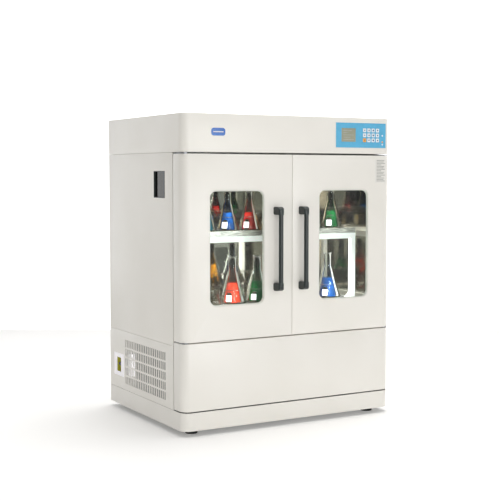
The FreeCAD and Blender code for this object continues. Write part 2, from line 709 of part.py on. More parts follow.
def make_front_frame():
    """Folded frame round the chamber mouth: two stiles, a header, a sill and a foot rail."""
    edge = HALF_WIDTH - SIDE_FOLD - PART_CLEARANCE
    top = CAP_Z - SIDE_SEAM
    stile = CHAMBER_HALF + LINER_SHEET
    solids = []
    for x0, x1 in ((-edge, -stile), (stile, edge)):
        solids.append(tube_box(x0, x1, FRAME_Y, CHAMBER_FRONT, PAN_TOP, top, "z", FRAME_SHEET))
    rails = (
        (CHAMBER_TOP + LINER_SHEET, top),
        (LOWER_PANEL_TOP - SILL_DROP, CHAMBER_FLOOR - LINER_SHEET),
        (PAN_TOP, LOWER_PANEL_Z + FOOT_RAIL_RISE),
    )
    for z0, z1 in rails:
        solids.append(tube_box(-stile, stile, FRAME_Y, CHAMBER_FRONT, z0, z1, "x", FRAME_SHEET))
    save("front_frame", solids)


# ---- chamber -------------------------------------------------------------------------------
def make_chamber_liner():
    y0 = FRAME_Y
    x = CHAMBER_HALF
    t = LINER_SHEET
    left = box(-x - t, -x, y0, CHAMBER_BACK, CHAMBER_FLOOR, CHAMBER_TOP)
    left = left.cut(side_window_cut(0, -x - t - 1, -x + 1))
    right = box(x, x + t, y0, CHAMBER_BACK, CHAMBER_FLOOR, CHAMBER_TOP)
    floor = box(-x - t, x + t, y0, CHAMBER_BACK, CHAMBER_FLOOR - t, CHAMBER_FLOOR)
    under = CHAMBER_FLOOR - t - 1
    holes = [rod(px, py, under, CHAMBER_FLOOR + 1, HOUSING_RADIUS) for px, py in drive_places()]
    roof = box(-x - t, x + t, y0, CHAMBER_BACK, CHAMBER_TOP, CHAMBER_TOP + t)
    back = box(-x - t, x + t, CHAMBER_BACK, CHAMBER_BACK + t, CHAMBER_FLOOR - t, CHAMBER_TOP + t)
    back = back.cut(rod_along_y(CHAMBER_BACK - 1, CHAMBER_BACK + t + 1, 0.0, FAN_Z, FAN_MOTOR_RADIUS))
    save("chamber_liner", [left, right, cut_all(floor, holes), roof, back])


def fan_guard():
    """Three wire rings and a cross in front of the fan's mouth."""
    y0 = DUCT_Y - GUARD_DEPTH
    reach = CHAMBER_FAN_RADIUS + FAN_MOUTH_GAP + 2 * GUARD_WIRE
    guard = []
    for ring in range(1, 4):
        radius = ring * CHAMBER_FAN_RADIUS / 3
        outer = rod_along_y(y0, DUCT_Y - PART_CLEARANCE, 0.0, FAN_Z, radius + GUARD_WIRE)
        guard.append(outer.cut(rod_along_y(y0 - 1, DUCT_Y, 0.0, FAN_Z, radius - GUARD_WIRE)))
    guard.append(box(-reach, reach, y0, DUCT_Y, FAN_Z - GUARD_WIRE, FAN_Z + GUARD_WIRE))
    guard.append(box(-GUARD_WIRE, GUARD_WIRE, y0, DUCT_Y, FAN_Z - reach, FAN_Z + reach))
    return guard


def make_air_duct_panel():
    x = CHAMBER_HALF - DUCT_SIDE_GAP
    z0 = CHAMBER_FLOOR + DUCT_SIDE_GAP
    panel = box(-x, x, DUCT_Y, DUCT_Y + LINER_SHEET, z0, CHAMBER_TOP - DUCT_SIDE_GAP)
    y0 = DUCT_Y - 1
    y1 = DUCT_Y + LINER_SHEET + 1
    tools = [rod_along_y(y0, y1, 0.0, FAN_Z, CHAMBER_FAN_RADIUS + FAN_MOUTH_GAP)]
    columns = int(2 * x / DUCT_SLOT_PITCH_X) - 2
    for column in range(columns):
        slot_x = (column - columns / 2) * DUCT_SLOT_PITCH_X
        for row in range(2):
            slot_z = z0 + DUCT_SLOT_RISE + row * DUCT_SLOT_PITCH_Z
            tools.append(box(slot_x, slot_x + DUCT_SLOT_WIDTH, y0, y1, slot_z, slot_z + DUCT_SLOT_HEIGHT))
    save("air_duct_panel", [fuse([cut_all(panel, tools)] + fan_guard())])


def evaporator():
    """Finned coil behind the duct panel, below the fan."""
    y0 = DUCT_Y + EVAPORATOR_FRONT_GAP
    y1 = CHAMBER_BACK - EVAPORATOR_BACK_GAP
    z0 = CHAMBER_FLOOR + EVAPORATOR_RISE
    z1 = FAN_Z - CHAMBER_FAN_RADIUS - EVAPORATOR_BELOW_FAN
    reach = (EVAPORATOR_FINS - 1) / 2 * EVAPORATOR_FIN_PITCH
    shapes = []
    for i in range(EVAPORATOR_FINS):
        x = i * EVAPORATOR_FIN_PITCH - reach
        shapes.append(box(x, x + EVAPORATOR_FIN, y0, y1, z0, z1))
    for row in range(COIL_TUBES):
        z = z0 + (row + 0.5) * (z1 - z0) / COIL_TUBES
        shapes.append(rod_along_x(-reach - COIL_TUBE_REACH, reach + COIL_TUBE_REACH, (y0 + y1) / 2, z,
                                  COIL_TUBE_RADIUS))
    return fuse(shapes)


def make_chamber_lamp():
    z = CHAMBER_TOP - LAMP_RADIUS - LAMP_DROP
    y = CHAMBER_FRONT + LAMP_SET_BACK
    half = LAMP_HOLDER_HALF
    end = LAMP_LENGTH / 2
    tube = rod_along_x(-end, end, y, z, LAMP_RADIUS)
    lamp = [tube]
    for x in (-end - LAMP_HOLDER, end):
        lamp.append(box(x, x + LAMP_HOLDER, y - half, y + half, z - half, CHAMBER_TOP))
    save("chamber_lamp", lamp)


def make_side_window():
    outer = side_window_cut(0, -HALF_WIDTH, -CHAMBER_HALF)
    inner = side_window_cut(-SIDE_WINDOW_WALL, -HALF_WIDTH - 1, -CHAMBER_HALF + 1)
    save("side_window_frame", [outer.cut(inner)])
    outer_pane = side_window_cut(-SIDE_WINDOW_WALL, -HALF_WIDTH + SIDE_WINDOW_RECESS,
                                 -HALF_WIDTH + SIDE_WINDOW_RECESS + PANE)
    inner_x = -CHAMBER_HALF - PANE_RECESS
    inner_pane = side_window_cut(-SIDE_WINDOW_WALL, inner_x - PANE, inner_x)
    save("side_window_panes", [outer_pane, inner_pane])


# ---- doors ---------------------------------------------------------------------------------
def hinge_place(side):
    return side * (HALF_WIDTH - HINGE_INSET_X), FRONT_Y + HINGE_INSET_Y


def door_solid(inset, back_extra):
    """The outside of the right door, shrunk by inset, with a shallow edge where the doors meet."""
    x0 = DOOR_SPLIT_GAP / 2 + inset
    x1 = HALF_WIDTH - inset
    z0 = DOOR_Z + inset
    z1 = DOOR_TOP - inset
    y0 = FRONT_Y + inset
    deep_x = DOOR_SPLIT_GAP / 2 + SPLIT_EDGE_STEP + inset
    edge_y = FRONT_Y + SPLIT_EDGE_DEPTH - inset
    y1 = FRONT_Y + DOOR_DEPTH + back_extra
    whole = front_block(x0, x1, y0, y1, z0, z1, CORNER_RADIUS - inset, left=False)
    return whole.cut(box(x0 - 1, deep_x, edge_y, y1 + 1, z0 - 1, z1 + 1))


def door_window(grow_x, grow_z, y0, y1):
    """The window's rounded outline on the right door, grown sideways and upwards, from y0 to y1."""
    half = WINDOW_WIDTH / 2 + grow_x
    z0 = DOOR_Z + WINDOW_SILL - grow_z
    z1 = DOOR_TOP - WINDOW_HEAD + grow_z
    radius = WINDOW_RADIUS + grow_z
    return window_block(WINDOW_CENTRE_X - half, WINDOW_CENTRE_X + half, z0, z1, y0, y1, radius)


def sight_window(grow, y0, y1):
    """The wider outline at the back of the door, so that the chamber shows when seen from one side."""
    return door_window(SIGHT_MARGIN_X + grow, SIGHT_MARGIN_Z + grow, y0, y1)


def make_door_shell(side):
    shell = door_solid(0.0, 0.0).cut(door_solid(SHEET, 5.0))
    shell = shell.cut(door_window(WINDOW_SEAL, WINDOW_SEAL, FRONT_Y - 1, FRONT_Y + SHEET + 1))
    pin_x, pin_y = hinge_place(1)
    bore = HINGE_PIN_RADIUS + RUNNING_CLEARANCE
    outer = bore + BUSH_WALL
    for z0, z1 in ((DOOR_Z, DOOR_Z + HINGE_BOSS_LENGTH), (DOOR_TOP - HINGE_BOSS_LENGTH, DOOR_TOP)):
        shell = shell.cut(rod(pin_x, pin_y, z0 - 1, z1 + 1, outer))
        shell = shell.fuse(pipe(pin_x, pin_y, z0, z1, outer, bore))
    return mirror_for(side, shell.removeSplitter())


def make_door_liner(side):
    """The back pan of the door with the sleeve that lines its window."""
    y1 = FRONT_Y + DOOR_DEPTH
    gap = SHEET + PART_CLEARANCE
    x0 = DOOR_SPLIT_GAP / 2 + SPLIT_EDGE_STEP + gap
    pan = box(x0, HALF_WIDTH - gap, y1 - SHEET, y1, DOOR_Z + gap, DOOR_TOP - gap)
    sleeve_y0 = FRONT_Y + gap
    sleeve = sight_window(SHEET, sleeve_y0, y1).cut(sight_window(0.0, sleeve_y0 - 1, y1 + 1))
    pan = pan.cut(sight_window(0.0, y1 - SHEET - 1, y1 + 1))
    return mirror_for(side, fuse([pan, sleeve]))


def make_door_panes(side):
    outer_y = FRONT_Y + PANE_RECESS
    inner_y = FRONT_Y + DOOR_DEPTH - PANE_RECESS - PANE
    outer = door_window(0.0, 0.0, outer_y, outer_y + PANE)
    inner = sight_window(0.0, inner_y, inner_y + PANE)
    return [mirror_for(side, outer), mirror_for(side, inner)]


def make_door_seals(side):
    """The glazing rim round the window and the sealing strip round the back of the door."""
    rim_y1 = FRONT_Y + PANE_RECESS + PANE + WINDOW_SEAL
    rim = door_window(WINDOW_SEAL, WINDOW_SEAL, FRONT_Y, rim_y1)
    rim = rim.cut(door_window(0.0, 0.0, FRONT_Y - 1, rim_y1 + 1))
    lip = door_window(0.0, 0.0, rim_y1 - WINDOW_SEAL, rim_y1)
    lip = lip.cut(door_window(-PANE_LIP, -PANE_LIP, FRONT_Y - 1, rim_y1 + 1))
    y0 = FRONT_Y + DOOR_DEPTH
    y1 = y0 + DOOR_SEAL_GAP - PART_CLEARANCE
    x0 = DOOR_SPLIT_GAP / 2 + SPLIT_EDGE_STEP + DOOR_SEAL_EDGE
    x1 = HALF_WIDTH - DOOR_SEAL_INSET
    z0 = DOOR_Z + DOOR_SEAL_EDGE
    z1 = DOOR_TOP - DOOR_SEAL_EDGE
    w = DOOR_SEAL_WIDTH
    strips = [
        box(x0, x0 + w, y0, y1, z0, z1),
        box(x1 - w, x1, y0, y1, z0, z1),
        box(x0 + w, x1 - w, y0, y1, z0, z0 + w),
        box(x0 + w, x1 - w, y0, y1, z1 - w, z1),
    ]
    return [mirror_for(side, fuse([rim, lip]))] + [mirror_for(side, strip) for strip in strips]


def edge_along_x(block, y, z):
    """The edge of a block that runs along X at y and z."""
    for edge in block.Edges:
        bound = edge.BoundBox
        flat = bound.YLength < 0.01 and bound.ZLength < 0.01
        if flat and abs(bound.YMin - y) < 0.01 and abs(bound.ZMin - z) < 0.01:
            return edge
    raise ValueError("no edge along X at this place")


def handle_end(x, outer_z, inner_z):
    """One end block of a pull handle: an elbow outside, softer where it meets the door and the tube."""
    half = HANDLE_BLOCK_WIDTH / 2
    front = FRONT_Y - HANDLE_REACH
    z0 = min(outer_z, inner_z)
    z1 = max(outer_z, inner_z)
    plan = rounded_block(x - half, x + half, front, FRONT_Y, z0, z1, HANDLE_BLOCK_RADIUS,
                         [(x - half, front), (x + half, front)])
    profile = box(x - half - 1, x + half + 1, front, FRONT_Y, z0, z1)
    profile = profile.makeFillet(HANDLE_ELBOW_RADIUS, [edge_along_x(profile, front, outer_z)])
    soft = [edge_along_x(profile, y, z) for y, z in ((FRONT_Y, outer_z), (FRONT_Y, inner_z))]
    return plan.common(profile.makeFillet(HANDLE_FOOT_RADIUS, soft))


def make_handle(x):
    top = HANDLE_Z + HANDLE_LENGTH
    low = HANDLE_Z + HANDLE_BLOCK_HEIGHT
    high = top - HANDLE_BLOCK_HEIGHT
    tube = rod(x, FRONT_Y - HANDLE_STANDOFF, low, high, HANDLE_TUBE_RADIUS)
    return [tube, handle_end(x, HANDLE_Z, low), handle_end(x, top, high)]


def make_doors():
    for side, name, handle_x in ((-1, "left", LEFT_HANDLE_X), (1, "right", RIGHT_HANDLE_X)):
        save("door_" + name + "_shell", [make_door_shell(side)])
        save("door_" + name + "_liner", [make_door_liner(side)])
        save("door_" + name + "_panes", make_door_panes(side))
        save("door_" + name + "_seals", make_door_seals(side))
        save("door_" + name + "_handle", make_handle(handle_x))


def make_hinge_brackets():
    """Flat plates in the gaps above and below each door, each with its pin."""
    brackets = []
    for side in (-1, 1):
        pin_x, pin_y = hinge_place(1)
        half = HINGE_PLATE_WIDTH / 2
        low_z = DOOR_Z - HINGE_GAP_BELOW - HINGE_PLATE
        high_z = DOOR_TOP + HINGE_GAP_ABOVE
        for z, pin_z0, pin_z1 in ((low_z, low_z, DOOR_Z + HINGE_PIN_LENGTH),
                                  (high_z, DOOR_TOP - HINGE_PIN_LENGTH, high_z + HINGE_PLATE)):
            plate = front_block(pin_x - half, pin_x + half - 1.0, pin_y - half, FRAME_Y, z, z + HINGE_PLATE,
                                HINGE_CORNER)
            pin = rod(pin_x, pin_y, pin_z0, pin_z1, HINGE_PIN_RADIUS)
            brackets.append(mirror_for(side, fuse([plate, pin])))
    save("hinge_brackets", brackets)


# ---- drive ---------------------------------------------------------------------------------
def pulley(x, y, radius):
    """A flat-belt pulley with a flange above and below the belt."""
    body = rod(x, y, PULLEY_BOTTOM, PULLEY_TOP, radius)
    rim = radius + BELT_THICKNESS + FLANGE_RIM
    low = rod(x, y, PULLEY_BOTTOM, PULLEY_BOTTOM + PULLEY_FLANGE, rim)
    high = rod(x, y, PULLEY_TOP - PULLEY_FLANGE, PULLEY_TOP, rim)
    return fuse([body, low, high])


def crank(x, y, disc_radius, shaft_bottom):
    shaft = rod(x, y, shaft_bottom, CRANK_DISC_Z, SHAFT_RADIUS)
    disc = rod(x, y, CRANK_DISC_Z, PIN_BASE, disc_radius)
    pin = rod(x, y + ORBIT_RADIUS, PIN_BASE, PIN_BASE + PIN_LENGTH, PIN_RADIUS)
    return [shaft, disc, pin]


def make_cranks():
    weight_top = PIN_BASE + WEIGHT_HEIGHT
    weight_disc = rod(0.0, CRANK_Y, PIN_BASE, weight_top, CRANK_DISC_RADIUS)
    keep = box(-CRANK_DISC_RADIUS, CRANK_DISC_RADIUS, CRANK_Y - CRANK_DISC_RADIUS,
               CRANK_Y + ORBIT_RADIUS - BOSS_RADIUS - WEIGHT_GAP, PIN_BASE, weight_top)
    main = crank(0.0, CRANK_Y, CRANK_DISC_RADIUS, PULLEY_BOTTOM - SHAFT_END)
    save("main_crank", [fuse(main + [pulley(0.0, CRANK_Y, CRANK_PULLEY_RADIUS), weight_disc.common(keep)])])
    for side, name in ((-1, "left"), (1, "right")):
        support = crank(side * SUPPORT_X, SUPPORT_Y, SUPPORT_DISC_RADIUS, BED_TOP - SUPPORT_SHAFT_DROP)
        save("support_crank_" + name, [fuse(support)])


def make_motor():
    """A ribbed upright motor hung from the drive bed on four posts, with the belt pulley on its shaft."""
    base = MOTOR_TOP - MOTOR_HEIGHT
    flange_base = MOTOR_TOP - MOTOR_FLANGE
    shapes = [rod(MOTOR_X, CRANK_Y, base, flange_base, MOTOR_RADIUS)]
    for i in range(MOTOR_RIBS):
        rib = box(MOTOR_RADIUS - MOTOR_RIB_ROOT, MOTOR_RADIUS + MOTOR_RIB_REACH,
                  -MOTOR_RIB_HALF, MOTOR_RIB_HALF, base + 2 * MOTOR_FLANGE, flange_base - MOTOR_FLANGE)
        rib.rotate(FreeCAD.Vector(0, 0, 0), FreeCAD.Vector(0, 0, 1), i * 360.0 / MOTOR_RIBS)
        rib.translate(FreeCAD.Vector(MOTOR_X, CRANK_Y, 0))
        shapes.append(rib)
    spread = (CRANK_PULLEY_RADIUS - MOTOR_PULLEY_RADIUS) * MOTOR_POST_REACH / MOTOR_X
    post_y = MOTOR_PULLEY_RADIUS + BELT_THICKNESS + spread + BELT_POST_GAP + MOTOR_POST_RADIUS
    half_x = MOTOR_POST_REACH + MOTOR_POST_INSET
    half_y = post_y + MOTOR_POST_INSET
    shapes.append(box(MOTOR_X - half_x, MOTOR_X + half_x, CRANK_Y - half_y, CRANK_Y + half_y, flange_base,
                      MOTOR_TOP))
    for dx in (-MOTOR_POST_REACH, MOTOR_POST_REACH):
        for dy in (-post_y, post_y):
            shapes.append(rod(MOTOR_X + dx, CRANK_Y + dy, MOTOR_TOP, BED_BOTTOM, MOTOR_POST_RADIUS))
    bore = rod(MOTOR_X, CRANK_Y, MOTOR_TOP - MOTOR_SHAFT_DEPTH - FLANGE_RIM, MOTOR_TOP + 1,
               MOTOR_SHAFT_RADIUS + RUNNING_CLEARANCE)
    save("drive_motor", [fuse(shapes).cut(bore)])
    shaft = rod(MOTOR_X, CRANK_Y, MOTOR_TOP - MOTOR_SHAFT_DEPTH, PULLEY_TOP + FLANGE_RIM, MOTOR_SHAFT_RADIUS)
    save("motor_pulley", [fuse([pulley(MOTOR_X, CRANK_Y, MOTOR_PULLEY_RADIUS), shaft])])


def loop_face(grow):
    """The plan of a belt loop round both pulleys, standing grow outside their belt faces."""
    big = CRANK_PULLEY_RADIUS + grow
    small = MOTOR_PULLEY_RADIUS + grow
    turn = math.acos((big - small) / MOTOR_X)
    z = PULLEY_BOTTOM + PULLEY_FLANGE + 1.0

    def point(x, radius, angle):
        return FreeCAD.Vector(x + radius * math.cos(angle), CRANK_Y + radius * math.sin(angle), z)

    big_arc = Part.Arc(point(0, big, turn), point(0, big, math.pi), point(0, big, -turn)).toShape()
    small_arc = Part.Arc(point(MOTOR_X, small, -turn), point(MOTOR_X, small, 0),
                         point(MOTOR_X, small, turn)).toShape()
    low_run = Part.LineSegment(point(0, big, -turn), point(MOTOR_X, small, -turn)).toShape()
    high_run = Part.LineSegment(point(MOTOR_X, small, turn), point(0, big, turn)).toShape()
    return Part.Face(Part.Wire([big_arc, low_run, small_arc, high_run]))


def make_belt():
    height = FreeCAD.Vector(0, 0, BELT_WIDTH)
    outer = loop_face(BELT_CLEARANCE + BELT_THICKNESS).extrude(height)
    inner = loop_face(BELT_CLEARANCE).extrude(height)
    save("drive_belt", [outer.cut(inner)])


# ---- platform ------------------------------------------------------------------------------
def platform_bars():
    """Square-tube posts with bars between them at the height of each deck."""
    x = PLATFORM_HALF
    y0 = PLATFORM_FRONT
    y1 = PLATFORM_BACK
    top = UPPER_DECK - DECK_LIP
    levels = ((LOWER_BAR_BASE, LOWER_BAR_TOP), (top - FRONT_BAR, top))
    bars = []
    for x0 in (-x, x - POST):
        for py in (y0, y1 - POST):
            bars.append(tube_box(x0, x0 + POST, py, py + POST, LOWER_BAR_BASE, top, "z", BAR_WALL))
        for z0, z1 in levels:
            bars.append(tube_box(x0, x0 + POST, y0 + POST, y1 - POST, z0, z1, "y", BAR_WALL))
    for py in (y0, y1 - POST):
        for z0, z1 in levels:
            bars.append(tube_box(-x + POST, x - POST, py, py + POST, z0, z1, "x", BAR_WALL))
    return bars


def gussets():
    """A small triangular plate at the foot of each post, facing front and back."""
    plates = []
    for side in (-1, 1):
        rim = side * (PLATFORM_HALF - POST)
        for py in (PLATFORM_FRONT + GUSSET_INSET, PLATFORM_BACK - GUSSET_INSET - GUSSET_SHEET):
            corner = FreeCAD.Vector(rim, py, LOWER_DECK)
            inward = FreeCAD.Vector(rim - side * GUSSET, py, LOWER_DECK)
            upward = FreeCAD.Vector(rim, py, LOWER_DECK + GUSSET)
            face = Part.Face(Part.makePolygon([corner, inward, upward, corner]))
            plates.append(face.extrude(FreeCAD.Vector(0, GUSSET_SHEET, 0)))
    return plates


def crank_bars():
    """The two cross bars under the lower deck and the bosses that turn on the crank pins."""
    reach = PLATFORM_HALF - POST
    bars = []
    for place_y in (CRANK_Y, SUPPORT_Y):
        y = place_y + ORBIT_RADIUS
        bars.append(box(-reach, reach, y - CROSS_BAR / 2, y + CROSS_BAR / 2, LOWER_BAR_BASE, LOWER_BAR_TOP))
    for index, (px, py) in enumerate(drive_places()):
        clearance = RUNNING_CLEARANCE if index == 0 else OPEN_PIVOT_CLEARANCE
        row = 0 if index == 0 else 1
        boss = rod(px, py + ORBIT_RADIUS, PIN_BASE + BOSS_GAP, LOWER_BAR_TOP, BOSS_RADIUS)
        bore_top = PIN_BASE + PIN_LENGTH + PIN_END_GAP
        bore = rod(px, py + ORBIT_RADIUS, PIN_BASE, bore_top, PIN_RADIUS + clearance)
        bars[row] = bars[row].fuse(boss).cut(bore)
    return bars


def make_platform_frame():
    save("platform_frame", platform_bars() + gussets() + crank_bars())


def make_platform_decks():
    """Flat stainless trays; the upper one has its front and back edges folded down to its bars."""
    lower_half = PLATFORM_HALF - POST - PART_CLEARANCE
    lower = box(-lower_half, lower_half, PLATFORM_FRONT, PLATFORM_BACK, LOWER_DECK - DECK_SHEET, LOWER_DECK)
    upper = box(-PLATFORM_HALF, PLATFORM_HALF, PLATFORM_FRONT, PLATFORM_BACK, UPPER_DECK - DECK_SHEET,
                UPPER_DECK)
    lips = []
    for y in (PLATFORM_FRONT, PLATFORM_BACK - DECK_SHEET):
        lips.append(box(-PLATFORM_HALF, PLATFORM_HALF, y, y + DECK_SHEET, UPPER_DECK - DECK_LIP,
                        UPPER_DECK - DECK_SHEET))
    save("platform_decks", [lower, upper] + lips)


def clamp(x, y, deck, radius):
    """A flask clamp: a round base plate and sprung fingers that lean in over the flask's shoulder."""
    base_top = deck + CLAMP_SHEET
    solids = [rod(x, y, deck, base_top, radius)]
    for i in range(CLAMP_FINGERS):
        finger = box(-CLAMP_SHEET, 0, -FINGER_WIDTH / 2, FINGER_WIDTH / 2, 0, FINGER_HEIGHT)
        finger.rotate(FreeCAD.Vector(0, 0, 0), FreeCAD.Vector(0, 1, 0), -FINGER_LEAN)
        finger.translate(FreeCAD.Vector(radius, 0, 0))
        finger.rotate(FreeCAD.Vector(0, 0, 0), FreeCAD.Vector(0, 0, 1), (i + 0.5) * 360.0 / CLAMP_FINGERS)
        finger.translate(FreeCAD.Vector(x, y, base_top))
        below = box(x - 2 * radius, x + 2 * radius, y - 2 * radius, y + 2 * radius, deck - 10, base_top)
        solids.append(finger.cut(below))
    return solids


def clamp_places(pitch, radius):
    """Centres of as many clamps as fit on a deck, in rows from the front."""
    first_y = PLATFORM_FRONT + CLAMP_EDGE_GAP + radius
    rows = 1 + int((PLATFORM_BACK - CLAMP_EDGE_GAP - radius - first_y) / pitch)
    columns = 1 + int(2 * (PLATFORM_HALF - CLAMP_SIDE_GAP - radius) / pitch)
    places = []
    for row in range(rows):
        for column in range(columns):
            places.append(((column - (columns - 1) / 2) * pitch, first_y + row * pitch))
    return places


def make_clamps():
    decks = (
        (LOWER_DECK, LOWER_CLAMP_PITCH, LOWER_CLAMP_RADIUS),
        (UPPER_DECK, UPPER_CLAMP_PITCH, UPPER_CLAMP_RADIUS),
    )
    solids = []
    for deck, pitch, radius in decks:
        for x, y in clamp_places(pitch, radius):
            solids += clamp(x, y, deck, radius)
    save("flask_clamps", solids)


# ---- controls ------------------------------------------------------------------------------
def key_places():
    places = []
    for row in range(KEY_ROWS):
        for column in range(KEY_COLUMNS):
            x = KEYPAD_LEFT + KEY_FIRST_X + column * KEY_PITCH_X
            z = KEYPAD_BASE + KEY_FIRST_Z - row * KEY_PITCH_Z
            places.append((x, z))
    return places


def make_keypad():
    y0 = FRONT_Y - KEYPAD_PROUD
    y1 = y0 + KEYPAD_THICKNESS
    panel = box(KEYPAD_LEFT + PART_CLEARANCE / 2, KEYPAD_LEFT + KEYPAD_WIDTH - PART_CLEARANCE / 2, y0, y1,
                KEYPAD_BASE + PART_CLEARANCE / 2, KEYPAD_BASE + KEYPAD_HEIGHT - PART_CLEARANCE / 2)
    half = KEY_SIZE / 2
    hole = half + KEY_GAP
    tools = [box(x - hole, x + hole, y0 - 1, y1 + 1, z - hole, z + hole) for x, z in key_places()]
    tools.append(display_block(0.0, y0 - 1, y1 + 1))
    save("keypad_panel", [cut_all(panel, tools)])
    save("display_window", [display_block(-PART_CLEARANCE / 2, y0 + DISPLAY_RECESS, y1)])
    flange = half + KEY_FLANGE_LIP
    flange_y0 = y1 + PART_CLEARANCE / 2
    flange_y1 = flange_y0 + KEY_FLANGE
    for index, (x, z) in enumerate(key_places()):
        cap = window_block(x - half, x + half, z - half, z + half, y0 - KEY_PROUD, flange_y1, KEY_CORNER)
        skirt = box(x - flange, x + flange, flange_y0, flange_y1, z - flange, z + flange)
        save("key_%02d" % (index + 1), [fuse([cap, skirt])])
    box_y0 = flange_y1 + KEY_TRAVEL + PART_CLEARANCE
    case = box(KEYPAD_LEFT + CONTROL_BOX_INSET, KEYPAD_LEFT + KEYPAD_WIDTH - CONTROL_BOX_INSET, box_y0,
               box_y0 + CONTROL_BOX_DEPTH, KEYPAD_BASE - CONTROL_BOX_RISE, KEYPAD_BASE + KEYPAD_HEIGHT
               + CONTROL_BOX_RISE)
    save("control_box", [case])


def display_block(grow, y0, y1):
    return box(KEYPAD_LEFT + DISPLAY_LEFT - grow, KEYPAD_LEFT + DISPLAY_LEFT + DISPLAY_WIDTH + grow, y0, y1,
               KEYPAD_BASE + DISPLAY_RISE - grow, KEYPAD_BASE + DISPLAY_RISE + DISPLAY_HEIGHT + grow)


def make_breaker():
    x0 = -HALF_WIDTH
    body = breaker_block(x0, x0 + BREAKER_DEPTH, BREAKER_WIDTH, BREAKER_HEIGHT)
    pocket = breaker_block(x0 - 1, x0 + POCKET_DEPTH, POCKET_WIDTH, POCKET_HEIGHT)
    save("mains_fittings", [body.cut(pocket)] + mains_inlet())
    drum_x = x0 + POCKET_DEPTH - TOGGLE_DRUM_RADIUS - TOGGLE_GAP
    drum = rod_along_y(BREAKER_Y - TOGGLE_WIDTH / 2, BREAKER_Y + TOGGLE_WIDTH / 2, drum_x, BREAKER_Z,
                       TOGGLE_DRUM_RADIUS)
    lever = box(drum_x - TOGGLE_REACH, drum_x, BREAKER_Y - TOGGLE_WIDTH / 2, BREAKER_Y + TOGGLE_WIDTH / 2,
                BREAKER_Z - TOGGLE_LEVER / 2, BREAKER_Z + TOGGLE_LEVER / 2)
    lever.rotate(FreeCAD.Vector(drum_x, BREAKER_Y, BREAKER_Z), FreeCAD.Vector(0, 1, 0), TOGGLE_REST_ANGLE)
    save("breaker_toggle", [fuse([drum, lever])])


# ---- refrigeration and fans ----------------------------------------------------------------
def fan(radius, hub, depth):
    """A fan about the Z axis with its hub from z = 0 up, to be turned into place."""
    solids = [rod(0, 0, 0, depth, hub)]
    for i in range(FAN_BLADES):
        blade = box(hub - FAN_BLADE_ROOT, radius, -FAN_BLADE_HALF, FAN_BLADE_HALF,
                    -FAN_BLADE_SHEET / 2, FAN_BLADE_SHEET / 2)
        blade.rotate(FreeCAD.Vector(0, 0, 0), FreeCAD.Vector(1, 0, 0), FAN_PITCH_ANGLE)
        blade.translate(FreeCAD.Vector(0, 0, depth / 2))
        blade.rotate(FreeCAD.Vector(0, 0, 0), FreeCAD.Vector(0, 0, 1), i * 360.0 / FAN_BLADES)
        solids.append(blade)
    wheel = fuse(solids)
    return wheel.common(rod(0, 0, -20, depth + 20, radius))


def make_fans():
    chamber_fan = fan(CHAMBER_FAN_RADIUS, FAN_HUB_RADIUS, FAN_DEPTH)
    chamber_fan.rotate(FreeCAD.Vector(0, 0, 0), FreeCAD.Vector(1, 0, 0), -90)
    fan_y = DUCT_Y + FAN_BEHIND_DUCT
    chamber_fan.translate(FreeCAD.Vector(0, fan_y, FAN_Z))
    save("chamber_fan", [chamber_fan])
    chamber_motor = rod_along_y(fan_y + FAN_DEPTH + FAN_MOTOR_GAP, BACK_Y - FAN_BEHIND_DUCT, 0.0, FAN_Z,
                                FAN_MOTOR_RADIUS)

    condenser_fan = fan(CONDENSER_FAN_RADIUS, FAN_HUB_RADIUS, FAN_DEPTH)
    condenser_fan.rotate(FreeCAD.Vector(0, 0, 0), FreeCAD.Vector(0, 1, 0), 90)
    fan_x = CONDENSER_FAN_DEEP - HALF_WIDTH
    condenser_fan.translate(FreeCAD.Vector(fan_x, CONDENSER_FAN_Y, CONDENSER_FAN_Z))
    save("condenser_fan", [condenser_fan])
    motor_x0 = fan_x + FAN_DEPTH + FAN_MOTOR_GAP
    motor_x1 = motor_x0 + CONDENSER_MOTOR_LENGTH
    condenser_motor = rod_along_x(motor_x0, motor_x1, CONDENSER_FAN_Y, CONDENSER_FAN_Z, FAN_MOTOR_RADIUS)
    half = FAN_MOTOR_RADIUS / 2
    stand = box(motor_x0 + COIL_TUBE_REACH, motor_x1 - COIL_TUBE_REACH, CONDENSER_FAN_Y - half,
                CONDENSER_FAN_Y + half, PAN_TOP, CONDENSER_FAN_Z - half)
    save("fan_motors", [chamber_motor, fuse([condenser_motor, stand])])


def condenser():
    """Finned coil behind the louvres, standing on the pan."""
    x0 = COIL_SIDE_GAP - HALF_WIDTH
    x1 = x0 + COIL_DEPTH
    y0 = CONDENSER_FAN_Y - COIL_HALF_LENGTH
    z0 = CONDENSER_FAN_Z - COIL_HALF_HEIGHT
    height = 2 * COIL_HALF_HEIGHT
    shapes = []
    for i in range(COIL_FINS):
        y = y0 + i * (2 * COIL_HALF_LENGTH - COIL_FIN) / (COIL_FINS - 1)
        shapes.append(box(x0, x1, y, y + COIL_FIN, z0, z0 + height))
    for row in range(COIL_TUBES):
        z = z0 + (row + 0.5) * height / COIL_TUBES
        shapes.append(rod_along_y(y0 - COIL_TUBE_REACH, y0 + 2 * COIL_HALF_LENGTH + COIL_TUBE_REACH,
                                  (x0 + x1) / 2, z, COIL_TUBE_RADIUS))
    shapes.append(box(x0 + COIL_TUBE_RADIUS, x1 - COIL_TUBE_RADIUS, y0, y0 + 2 * COIL_HALF_LENGTH, PAN_TOP,
                      z0 + COIL_FIN))
    return fuse(shapes)


